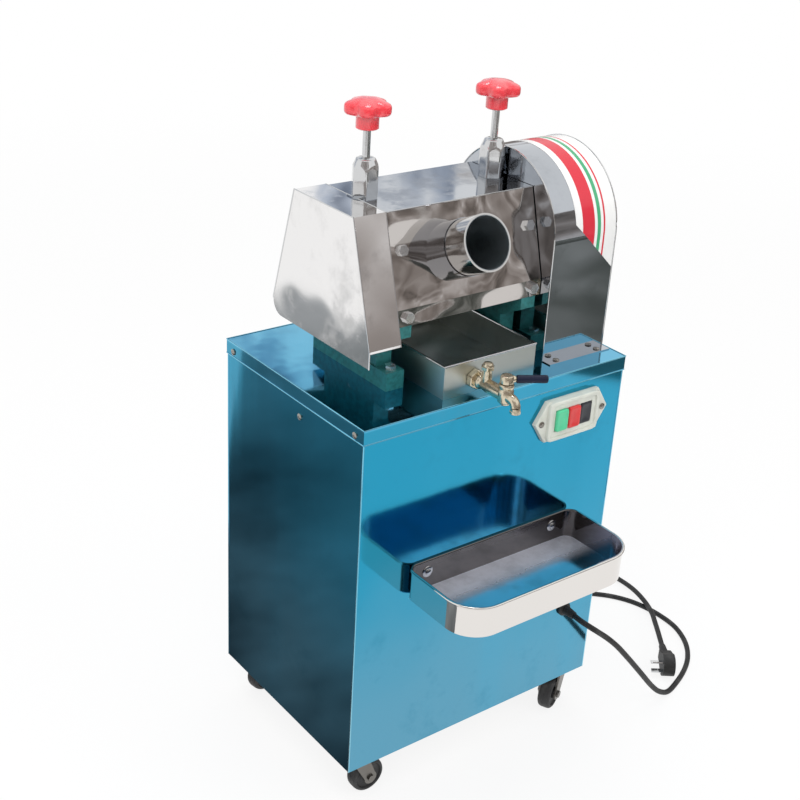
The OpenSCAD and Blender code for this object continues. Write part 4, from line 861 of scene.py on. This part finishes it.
@dataclass
class Studio:
    """Pale floor, white surround, soft lamps, and muted cards that only reflections see."""

    floor_half: float = 14.0
    floor_tone: float = 0.86
    floor_white: float = 0.84
    floor_fade: tuple[float, float] = (1.0, 4.0)
    ambient: float = 0.6
    wall_far: float = 3.4
    wall_columns: int = 48
    lean_from: float = -0.75
    ground: float = 0.004
    aim: Triple = (0.0, 0.0, 0.5)
    lamps: tuple[tuple[str, Triple, float, float], ...] = (
        ("key", (-2.4, -1.8, 3.4), 3.0, 82), ("fill", (2.2, -3.0, 2.6), 3.0, 42), ("top", (0.2, 0.8, 4.0), 3.2, 60))

    def build(self) -> None:
        """Makes floor, world, lamps and cards."""
        bpy.context.scene.view_settings.view_transform = "Standard"
        self._world()
        self._floor()
        self._cards()
        for lamp in self.lamps:
            self._lamp(*lamp)

    @staticmethod
    def seen(g: Graph) -> Val:
        """1 for camera, glossy and transmission rays, else 0."""
        rays = [g.node("ShaderNodeLightPath", {}, {}, n) for n in
                ("Is Camera Ray", "Is Glossy Ray", "Is Transmission Ray")]
        return (rays[0] + rays[1] + rays[2]).over(0.5)

    def _world(self) -> None:
        """White where it is seen, a plain level of light elsewhere."""
        world = bpy.data.worlds.new("surround")
        bpy.context.scene.world = world
        g = Graph(world)
        strength = self.seen(g) * (1 - self.ambient) + self.ambient
        g.surface(g.node("ShaderNodeBackground", {}, {"Color": (1, 1, 1, 1), "Strength": strength}))

    def _floor(self) -> None:
        """A pale matt plane that keeps the shadow and fades to white."""
        n = self.floor_half
        g = Graph.material("floor_paper")
        diffuse = g.node("ShaderNodeBsdfDiffuse", {}, {"Color": (*[self.floor_tone] * 3, 1)})
        white = g.node("ShaderNodeEmission", {}, {"Color": (1, 1, 1, 1), "Strength": 1.0})
        fade = g.length(g.place()).step(*self.floor_fade) * (1 - self.floor_white) + self.floor_white
        mixed = g.node("ShaderNodeMixShader", {}, {0: self.seen(g) * fade, 1: diffuse, 2: white})
        self._square(-n, -n, n, n, 0).made("floor", g.surface(mixed))

    @staticmethod
    def _square(x0: float, y0: float, x1: float, y1: float, z: float) -> Surface:
        """A level rectangle."""
        return Surface(np.array([[x0, y0, z], [x1, y0, z], [x1, y1, z], [x0, y1, z]], float), [(0, 1, 2, 3)])

    def _card(self, name: str, surface: Surface, stops: list[tuple[float, Colour]], scale: float,
              lean: float = 0.0) -> None:
        """A glowing card in patches of a few tones, seen by reflections alone.

        Args:
            name: the card's name.
            surface: its shape.
            stops: its tones, from the darkest patches to the lightest.
            scale: patches in a metre.
            lean: how much lighter it gets with each metre to the left of lean_from.
        """
        g = Graph.material(f"{name}_tone")
        patches = g.noise(scale, 4, (1, 1, 0.7), 0.6) - (g.axis("X") - self.lean_from) * lean
        tone = g.node("ShaderNodeValToRGB", {"stops": stops}, {0: patches})
        card = surface.made(name, g.surface(g.node("ShaderNodeEmission", {}, {"Color": tone, "Strength": 1.0})))
        for ray in ("camera", "diffuse", "transmission", "shadow", "volume_scatter"):
            setattr(card, f"visible_{ray}", False)

    def _arc(self, start: float, end: float, heights: Sequence[float], near: Optional[float] = None) -> Surface:
        """Wall P(h, a) around the machine, or a flat ring P(r, a) out to that wall.

        Args:
            start: first angle in degrees.
            end: last angle.
            heights: heights of the wall's rows, or the ring's one height.
            near: inner radius of the ring, none for a wall.

        Returns:
            The surface.
        """
        a = np.radians(np.linspace(start, end, self.wall_columns))
        far = self.wall_far
        rows = [(near, heights[0]), (far, heights[0])] if near else [(far, h) for h in heights]
        ring = np.stack([np.stack([r * np.cos(a), r * np.sin(a), np.full_like(a, h)], -1) for r, h in rows])
        return grid(ring, around=False)

    def _cards(self) -> None:
        """Brown-grey walls and dim ground around the front, a pale wall behind, and a ceiling with a bright window."""
        brown = [(0.3, (0.06, 0.055, 0.05)), (0.44, (0.28, 0.25, 0.235)), (0.58, (0.52, 0.49, 0.48)),
                 (0.7, (0.95, 0.95, 0.96))]
        dim = [(0.3, (0.05, 0.055, 0.05)), (0.5, (0.13, 0.14, 0.13)), (0.7, (0.30, 0.31, 0.30))]
        grey = [(0.25, (0.05, 0.055, 0.06)), (0.5, (0.21, 0.23, 0.24)), (0.7, (0.40, 0.42, 0.44)),
                (0.9, (0.95, 0.95, 0.96))]
        blue = [(0.34, (0.09, 0.11, 0.16)), (0.47, (0.48, 0.54, 0.64)), (0.58, (1.0, 1.0, 1.0))]
        pale = [(0.35, (0.36, 0.38, 0.41)), (0.5, (0.58, 0.60, 0.63)), (0.65, (0.85, 0.86, 0.88))]
        glint = [(0.3, (8.0, 8.0, 8.2)), (0.7, (10.0, 10.0, 10.2))]
        self._card("front_wall", self._arc(-165, 50, (0.02, 0.6, 1.2, 1.75)), brown, 1.5)
        self._card("left_wall", self._arc(-175, -95, (1.75, 2.6, 3.4, 4.2)), brown, 1.5)
        self._card("far_ground", self._arc(-100, 30, (self.ground,), 1.47), dim, 2.2)
        beside = [(*p, self.ground) for p in ((-1.1, -0.14), (-0.2235, -0.14), (-0.2235, 0.35), (-1.1, 1.6))]
        self._card("left_ground", Surface(np.array(beside), [(0, 1, 2, 3)]), grey, 1.8, 0.45)
        self._card("rear_wall", self._arc(50, 130, (1.2, 2.0, 3.2)), blue, 3.6)
        self._card("ceiling", self._square(-1.6, -1.0, 2.0, 2.6, 3.9), pale, 1.4)
        self._card("window", self._square(0.15, 0.4, 1.05, 1.3, 3.85), glint, 1.4)

    def _lamp(self, name: str, place: Triple, size: float, power: float) -> None:
        """A square soft lamp aimed at the middle of the machine and hidden from reflections.

        Args:
            name: its name.
            place: its middle.
            size: length of its sides.
            power: watts.
        """
        data = bpy.data.lights.new(name, "AREA")
        data.size, data.energy = size, power
        put(name, data, axes(place, np.subtract(place, self.aim), (0, 1, 0.01))).visible_glossy = False


# Sub-assemblies


@dataclass
class PowerCord:
    """Mains lead from the gland to the plug, with the gland's ribbed strain relief."""

    diameter: float = 0.0084
    gland_end: float = -24.0
    plug_entry: Triple = (640.0, 10.0, -48.0)
    route: tuple[Triple, ...] = (
        (382, -38, 190), (386, -52, 187), (395, -63, 180), (409, -70, 168), (428, -73, 149), (450, -73, 124),
        (474, -72, 96), (500, -71, 65), (525, -71, 35), (548, -70, 13), (574, -67, 0), (604, -58, 0), (634, -45, 0),
        (662, -28, 0), (686, -6, 0), (704, 20, 0), (716, 50, 0), (719, 82, 0), (716, 114, 0), (707, 145, 0),
        (690, 174, 0), (666, 199, 0), (640, 220, 0), (620, 246, 0), (618, 278, 0), (636, 304, 0), (668, 314, 0),
        (700, 303, 0), (723, 279, 0), (735, 248, 0), (738, 214, 1), (734, 180, 5), (725, 148, 9), (714, 117, 10),
        (700, 90, 11), (682, 66, 13), (664, 42, 14))

    def line(self) -> np.ndarray:
        """Middle line: a Catmull-Rom curve through the gland's end, the route and the plug's entry.

        Returns:
            Points in metres.
        """
        rise = self.diameter * 500 + ORIGIN[2]
        points = [(GLAND_X, self.gland_end, GLAND_Z), *((x, y, z + rise) for x, y, z in self.route), self.plug_entry]
        return smooth_path([at(*p) for p in points], 6)

    def build(self, frame: dict[str, Any]) -> None:
        path = self.line()
        lead = tube(path, self.diameter / 2, 14).piece("mains_lead", BLACK, "rubber_black", node="power_cord")
        self._gland()

    def _gland(self) -> None:
        """Flange, nut flats and a tapering sleeve whose radius has a groove every 3 mm."""
        h = np.linspace(6, 24, 37)
        r = np.interp(h, [6, 24], [7.2, 5.5]) - 0.7 * (np.cos(h * 2 * np.pi / 3) > 0.35)
        profile = [(7.4, -9.5), (7.4, 0), (10.4, 0), (11, 0.6), (11, 3.4), (9.6, 5), (7.6, 5.4), *zip(r, h)]
        gland = revolve(profile, axes(at(GLAND_X, 0, GLAND_Z), (0, -1, 0)), 36)
        gland.piece("strain_relief", BLACK, "rubber_black", node="cord_gland")


@dataclass
class StarKnobs:
    """Two red star knobs with five lobes, and the hex sleeves under them."""

    places: tuple[tuple[str, float, float, float], ...] = (("left", 100.0, 30.0, 843.5), ("right", 307.0, 0.0, 847.0))
    lobes: int = 5
    turn: float = 16.0
    lobe_out: float = 19.0
    lobe_radius: float = 11.0
    core: float = 23.3
    rim: float = 30.0
    power: int = 18
    sides: int = 120

    def build(self) -> None:
        """Makes both knobs and one piece with both sleeves."""
        for side, x, _, low in self.places:
            self._knob(side, x, low)
        sleeves = Surface.join(self._sleeve(x, math.radians(turn)) for _, x, turn, _ in self.places)
        sleeves.piece("hex_sleeve_pair", CHROME, "polished_steel", node="hex_sleeves")

    def _knob(self, side: str, x: float, low: float) -> None:
        """Knob P(s, a): hub, lobed rim r (1 + w(s) (g(a) - 1)) and dome; g is a core circle swelling into lobes.

        Args:
            side: left or right.
            x: its place across the head.
            low: its lower end.
        """
        half = np.pi / self.lobes
        off = (angles(self.sides) - math.radians(self.turn) + half) % (2 * half) - half
        reach = np.sqrt(np.clip(self.lobe_radius ** 2 - (self.lobe_out * np.sin(off)) ** 2, 0, None))
        lobe = self.lobe_out * np.cos(off) + reach
        lobed = (self.core ** self.power + lobe ** self.power) ** (1 / self.power)
        rows = [(13.0, 0, 0), (14.5, 1.2, 0), (14.5, 14.6, 0), (15.4, 16.8, 0), (23.6, 17.8, 0.7), (27.4, 18.6, 1),
                (29.2, 20.2, 1), (30.0, 22.6, 1), (30.0, 28.4, 1), (29.4, 30.6, 1), (28.2, 32.0, 1), (25.6, 33.4, 0.95),
                (22, 34.6, 0.8), (17, 36.2, 0.5), (12, 37.2, 0.2), (6, 37.8, 0), (1, 38, 0)]
        r, h, w = np.array(rows, float).T
        shape = 1 + w[:, None] * (lobed / self.rim - 1)
        knob = rings(r[:, None] * shape, h, upright(x, HEAD_MIDDLE, low))
        knob.piece(f"{side}_star_knob", RED, "red_plastic", f"{side}_knob", f"{side}_knob", 50)

    def _sleeve(self, x: float, turn: float) -> Surface:
        """Hex prism under a long cone: the radius is the smaller of hexagon and cone at each height.

        Args:
            x: its place across the head.
            turn: angle of its first face.

        Returns:
            The closed surface.
        """
        h = np.array([0, 0.8, 30, 36, 38, 40, 42, 44, 46, 48, 49.4, 50])
        flat = np.array([15.2] + [15.75] * 11)
        cone = np.interp(h, [0, 36, 49.4, 50], [19, 18.4, 12.4, 11.4])
        r = np.minimum(flat[:, None] * hexagon(turn), cone[:, None])
        return rings(r, h, upright(x, HEAD_MIDDLE, HEAD_TOP))


@dataclass
class Casters:
    """Tyres of the four casters."""

    spots: tuple[tuple[str, float, float, float], ...] = (
        ("front_left", 30, 26, 0), ("front_right", 410, 26, 205), ("rear_left", 30, 294, 10),
        ("rear_right", 410, 294, 190))
    trail: float = 18.0
    axle: float = -40.0
    width: float = 20.0

    def build(self) -> None:
        """Wheels as one turned profile: hub, dished disc and a rounded tread with a parting line."""
        half = [(3.1, 0), (8.2, 0), (9, 0.8), (9, 2.6), (10, 3.2), (18.4, 3.2), (19.4, 2.6), (20, 0.9), (21, 0),
                (22.6, 0.2), (24.6, 1.6), (25.6, 3.6), (26, 6.2), (26, 9.6)]
        profile = [*half, (25.7, self.width / 2), *((r, self.width - h) for r, h in reversed(half))]
        for name, x, y, turn in self.spots:
            c, s = math.cos(math.radians(turn)), math.sin(math.radians(turn))
            hub = at(x + self.trail * c, y + self.trail * s, self.axle)
            side = np.array([-s, c, 0.0])
            tyre = revolve(profile, axes(hub - side * self.width / 2000, side), 56)
            tyre.piece(f"tyre_{name}", WHEEL, "wheel_black", f"wheel_{name}", f"wheel_{name}")


@dataclass
class SwitchBox:
    """Three-button switch: bevelled six-cornered plate with a raised rim, and rounded buttons."""

    x: float = 344.0
    z: float = 461.0
    pitch: float = 22.5
    floor: float = 9.5
    plate: Triple = (66.5, 47.0, 30.0)
    rim: tuple[float, float] = (46.5, 29.6)
    button: tuple[float, float] = (10.5, 15.5)

    def _ring(self, outline: np.ndarray, out: float) -> np.ndarray:
        """Outline in millimetres, set out from the front panel."""
        return at(self.x + outline[:, 0], -out, self.z + outline[:, 1])

    def _hexagon(self, inset: float) -> np.ndarray:
        """Six-cornered outline of the plate, moved in."""
        tip, edge, side = np.subtract(self.plate, np.multiply(inset, (1.2, 0.5, 1.0)))
        return np.array([[-tip, 0], [-edge, -side], [edge, -side], [tip, 0], [edge, side], [-edge, side]], float)

    def build(self) -> None:
        """Makes the plate and its buttons."""
        ears = grid(np.stack([self._ring(self._hexagon(i), o) for i, o in
                              ((0, 0), (0, 5.2), (0.5, 6.4), (1.6, 7))]), caps=True)
        rim = grid(np.stack([self._ring(superellipse(64, self.rim[0] - i, self.rim[1] - i, 14), o) for i, o in
                             ((0, 6), (0.4, 10.6), (1.2, 11.6), (2.4, 12), (4.6, 12), (5.6, 11.5), (6.2, self.floor))]))
        xs = np.array([-40.6, -33.4, -11.7, -10.8, 10.8, 11.7, 33.4, 40.6])
        zs = np.array([-23.7, -15.9, 15.9, 23.7])
        holes = {(1, 1), (3, 1), (5, 1)}
        cells = [np.array([[xs[i], zs[j]], [xs[i + 1], zs[j]], [xs[i + 1], zs[j + 1]], [xs[i], zs[j + 1]]])
                 for i in range(7) for j in range(3) if (i, j) not in holes]
        floor = Surface.join(Surface(self._ring(cell, self.floor), [(0, 1, 2, 3)]) for cell in cells)
        Surface.join([ears, rim, floor]).piece("switch_cover", IVORY, "white_plastic", node="switch_plate", smooth=30)
        for i, name, finish, out in ((-1, "green", GREEN, 13.5), (0, "red", BUTTON_RED, 13.5),
                                     (1, "black", BUTTON_BLACK, 11.0)):
            self._button(i, name, finish, out)

    def _button(self, i: int, name: str, finish: Finish, out: float) -> None:
        """Button: rounded rectangles that step in towards a slightly dished face.

        Args:
            i: its place from the middle button.
            name: its colour's name.
            finish: its finish.
            out: how far it stands out from the panel.
        """
        steps = []
        for inset, o in ((0, 5), (0, out - 1.6), (0.4, out - 0.6), (1.2, out - 0.1), (2.2, out), (4, out - 0.3),
                         (8, out - 0.7)):
            ring = superellipse(48, self.button[0] - inset, self.button[1] - inset, 9)
            steps.append(self._ring(ring + [i * self.pitch, 0], o))
        button = grid(np.stack(steps), caps=True)
        button.piece(f"{name}_push", finish, f"{name}_plastic", f"{name}_button", f"{name}_button", 40)


@dataclass
class BrassTap:
    """Bib tap on the trough: body with collar, boss, chest and curved spout; lever with its plug."""

    x: float = 183.0
    front: float = 18.0
    z: float = 545.0
    valve: float = -44.0
    arm: float = 567.9
    lever: float = 52.0
    turn: float = -30.0
    boss: float = 25.0
    chest: float = 10.0
    bend: float = 10.0

    def build(self) -> None:
        """Makes body and lever."""
        body = Surface.join([self._barrel(), self._boss(), self._chest(), self._spout()])
        body.piece("bib_tap", BRASS, "brass", node="tap_body", smooth=40)
        self._lever()

    def _barrel(self) -> Surface:
        """Shank and barrel as a turned profile along the flow, with a hex collar against the trough.

        Returns:
            The closed surface.
        """
        frame = axes(at(self.x, self.front, self.z), (0, -1, 0))
        turned = [(7.9, -12), (7.9, 0), (8.6, 0.4), (8.6, 12), (9.6, 13), (9.8, 15), (9.2, 16.4), (8, 18), (7.6, 22),
                  (8.4, 27), (9, 32), (9, 44), (9, 62)]
        collar = [(11, 0.1), (12, 0.9), (12, 8), (11, 9)]
        return Surface.join([revolve(turned, frame), revolve(collar, frame, shape=hexagon())])

    def _boss(self) -> Surface:
        """Upright plug boss with a hex cap and a rounded end.

        Returns:
            The closed surface.
        """
        frame = upright(self.x, self.front - self.boss, self.z)
        stem = [(6.6, 0), (6.6, 8), (7, 12), (6.4, 15), (6.2, 20), (6.9, 26.6), (6.9, 29), (5.6, 30.6), (3, 31)]
        cap = [(7.2, 21.4), (8, 22.2), (8, 26), (7.2, 26.6)]
        return Surface.join([revolve(stem, frame), revolve(cap, frame, shape=hexagon(0.3))])

    def _chest(self) -> Surface:
        """Valve chest with rounded ends and a ring under the lever."""
        turned = [(4, -12), (5.6, -11.6), (6.6, -10.4), (6.6, -9), (9, -8.2), (10, -7), (10, 8), (9.2, 9.4),
                  (8.8, 10.4), (9, 11.4), (9.8, 12.4), (9.8, 16), (9.2, 17)]
        return revolve(turned, upright(self.x, self.valve, self.z))

    def _spout(self) -> Surface:
        """Spout: a tube along a quarter bend and a short drop, with a beaded end.

        Returns:
            The closed surface.
        """
        a = np.radians(np.linspace(0, 90, 15))
        y0, bend = self.valve - self.chest, self.bend
        drop = np.array([1, 2, 2.6, 3.4, 5.4, 6])
        y = np.concatenate([[y0 + 6], y0 - bend * np.sin(a), np.full_like(drop, y0 - bend)])
        z = np.concatenate([[0], bend * np.cos(a) - bend, -bend - drop])
        radius = np.concatenate([[7.4], np.interp(a, [0, a[-1]], [7, 6.4]), [6.3, 6.3, 7, 7, 7, 6.4]])
        return tube(at(self.x, y, self.z + z), radius / 1000, 28)

    def _lever(self) -> None:
        """Lever: plug and rounded hub on the valve's axis, and an arm that swells into the hub."""
        turn = math.radians(self.turn)
        along = np.array([math.cos(turn), math.sin(turn), 0])
        hub = upright(self.x, self.valve, self.z)
        turned = [(6.4, -8), (6.4, 17.2), (7.6, 17.4), (8.5, 18.4), (8.5, 26.4), (7.8, 27.8), (6, 28.4), (5.2, 28.4)]
        end = self.lever
        arm = [(5.6, 3), (5, 8), (3.6, 11), (3, 13), (3, end - 6)]
        axis = axes(at(self.x, self.valve, self.arm), along)
        lever = Surface.join([revolve(turned, hub), revolve(arm, axis)])
        lever.piece("tap_handle", BRASS, "brass", "tap_lever", "tap_lever", 40)
        sleeve = [(4.6, 12), (5.2, 12.6), (5.25, 18), (5.0, 30), (5.2, end - 8), (5.25, end - 3), (4.6, end - 0.8),
                  (3, end)]
        revolve(sleeve, axis).piece("handle_sleeve", GRIP, "grip_black", "tap_lever", "lever_grip")


class Side(Enum):
    """Sloping covers of the head, with the sign of their depth from its middle."""

    FRONT = -1
    REAR = 1


@dataclass
class FoldedEdges:
    """Folded edges and hems of the sheet pieces, as thin beads along them."""

    bead: float = 0.0009
    overhang: float = 1.5
    top_half: float = 63.5
    foot_half: float = 108.0
    rise: float = 157.0
    skin: float = 1.25
    crown: float = 758.2
    cover_low: float = 600.0
    cover_edge: float = 597.0
    cover_foot: float = 577.0
    end_face: float = 38.0
    end_seam: float = 86.0
    lip: Triple = (324.0, 94.0, 757.2)
    housing: tuple[float, float] = (326.0, 438.0)
    housing_foot: float = 526.0
    trough: tuple[float, float, float, float] = (134.0, 287.0, 18.0, 223.0)
    trough_top: float = 570.0
    tray_top: float = 304.6
    tray_corners: tuple[tuple[float, float, float, float], ...] = (
        (123, -85.6, 45.6, 180), (326, -85.6, 45.6, 270), (355, -18.4, 16.6, 0), (94, -18.4, 16.6, 90))
    tray_screws: tuple[Triple, Triple] = ((113.5, -1.2, 287.0), (335.5, -1.2, 287.0))

    def build(self) -> None:
        """Makes the beads, one piece for each sheet assembly."""
        low, right, rear = -self.overhang, CABINET_W + self.overhang, CABINET_D + self.overhang
        corners = ((low, low), (right, low), (right, rear), (low, rear), (low, low))
        lines = [[at(x, y, z) for x, y in corners] for z in (LID_TOP, SKIRT_LOW)]
        lines += [[at(x, y, 0.8), at(x, y, SKIRT_LOW)] for x in (0, CABINET_W) for y in (0, CABINET_D)]
        # The cabinet's beads take the paler film: painted highlight along the bends.
        Surface.join(self._run(line) for line in lines).piece("cabinet_folds", EDGE_HIGHLIGHT_BLUE, "blue_sheet")
        self._head()
        self._tray()

    def _run(self, points: Sequence[np.ndarray], radius: Optional[float] = None) -> Surface:
        """Beads along a broken line, one short tube for each part of it."""
        r = radius or self.bead
        return Surface.join(tube(np.array([a + (b - a) * t for t in (0, 0.01, 0.99, 1)]), r, 10)
                            for a, b in zip(points[:-1], points[1:]))

    def _cover(self, z: float, side: Side) -> float:
        """Depth of a sloping cover of the head at a height."""
        slope = (self.foot_half - self.top_half) / self.rise
        return HEAD_MIDDLE + side.value * (self.top_half + slope * (HEAD_TOP - z) + self.skin)

    def _head(self) -> None:
        """Edges of the end cover, the lip of the front cover, the trough's hem and the housing's seams."""
        low, edge = self.cover_low, self.cover_edge
        front, rear = (self._cover(low, side) for side in Side)
        crown = [*((self._cover(HEAD_TOP, side), self.crown) for side in Side), (rear, low)]
        face = [(front, self.cover_foot), (front, low), *crown, (rear, edge)]
        face = [at(self.end_face, y, z) for y, z in face]
        seam = [at(self.end_seam, y, z) for y, z in ((self._cover(edge, Side.FRONT), edge), *crown)]
        a = np.radians(np.linspace(0, 180, 40))
        arch = [at(x, ARCH_Y + ARCH_RADIUS * np.cos(a), ARCH_Z + ARCH_RADIUS * np.sin(a)) for x in self.housing]
        sides = [[at(x, y, self.housing_foot), at(x, y, ARCH_Z)] for x in self.housing
                 for y in (ARCH_Y - ARCH_RADIUS, ARCH_Y + ARCH_RADIUS)]
        x0, x1, y0, y1 = self.trough
        hem = [at(x, y, self.trough_top) for x, y in ((x0, y0), (x1, y0), (x1, y1), (x0, y1), (x0, y0))]
        lip = [at(self.end_seam, *self.lip[1:]), at(*self.lip)]
        parts = [self._run(face), self._run(seam, 0.0006), self._run(hem, 0.0014), self._run(lip, 0.0008),
                 *(tube(p, 0.0012, 10) for p in arch), *(self._run(s, 0.0012) for s in sides)]
        Surface.join(parts).piece("head_folds", CHROME, "stainless")

    def _tray(self) -> None:
        """Rolled rim of the cup tray, a bead along its rounded outline, and the washers of its two screws."""
        a = np.radians(np.linspace(0, 90, 14))
        path = [at(x + r * np.cos(a + math.radians(b)), y + r * np.sin(a + math.radians(b)), self.tray_top)
                for x, y, r, b in self.tray_corners]
        tube(np.concatenate(path), 0.0019, 14, closed=True).piece("tray_roll", TRAY_STEEL, "stainless")
        profile = [(8.4, 0), (8.4, 0.5), (7.6, 1.2), (5, 1.5), (4.6, 1.5), (4.4, 3.2), (3.2, 4), (0.5, 4.2)]
        caps = Surface.join(revolve(profile, axes(at(*screw), (0, -1, 0)), 32) for screw in self.tray_screws)
        caps.piece("tray_washers", CHROME, "polished_steel")


@dataclass
class HousingDecal:
    """White vinyl on the housing's arched face, cut off aslant at its lower end, with plain bands."""

    left: float = 364.0
    right: float = 436.8
    low: tuple[float, float] = (712.0, 643.0)
    end: float = 118.0
    lifts: tuple[float, float] = (0.35, 0.05)
    columns: int = 9
    rows: int = 64

    def _layer(self, lift: float) -> np.ndarray:
        """Face P(s, x) of the vinyl: s runs up the housing's front and over the crown, x across.

        Args:
            lift: how far it lies over the housing.

        Returns:
            Array of shape (rows, columns, 3).
        """
        radius = ARCH_RADIUS + lift
        x = np.linspace(self.left, self.right, self.columns)[None, :]
        low = np.interp(x, [self.left, self.right], self.low)
        start = low - ARCH_Z
        flat = np.maximum(-start, 0)
        turn = np.arcsin(np.clip(start, 0, None) / radius)
        s = np.linspace(0, 1, self.rows)[:, None] * (flat + (np.radians(self.end) - turn) * radius)
        angle = turn + np.maximum(s - flat, 0) / radius
        straight = s < flat
        y = ARCH_Y - np.where(straight, radius, radius * np.cos(angle))
        z = np.where(straight, low + s, ARCH_Z + radius * np.sin(angle))
        return at(x, y, z)

    def build(self) -> None:
        """Joins the outer and the inner face around the sides, and closes both ends with quads."""
        outer, inner = (self._layer(lift) for lift in self.lifts)
        sheet = grid(np.concatenate([outer[:, ::-1], inner], 1))
        n, last = 2 * self.columns, 2 * self.columns * (self.rows - 1)
        for j in range(self.columns - 1):
            quad = (j, j + 1, n - 2 - j, n - 1 - j)
            sheet.faces += [quad[::-1], tuple(last + i for i in quad)]
        bands = tuple((at(a, 0, 0)[0], at(b, 0, 0)[0], tone) for a, b, tone in (
            (376, 398, srgb(206, 30, 52)), (403, 409, srgb(60, 160, 110)), (414, 417, srgb(206, 30, 52))))
        sheet.piece("housing_decal", Decal(bands), "stainless")


def dress(frame: dict[str, Any]) -> None:
    """Gives each solid its finish.
    """
    for finish, names in NODE_FINISH.items():
        for name in names.split():
            mesh = frame["nodes"][name].data
            mesh.materials.clear()
            mesh.materials.append(finish.material())


def main() -> None:
    """Builds the scene in order."""
    logging.basicConfig(level=logging.INFO, format="%(name)s %(message)s")
    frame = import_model()
    View().build()
    PowerCord().build(frame)
    Studio().build()
    dress(frame)
    for part in (StarKnobs(), Casters(), SwitchBox(), BrassTap(), FoldedEdges(), HousingDecal()):
        part.build()


if __name__ == "__main__":
    main()
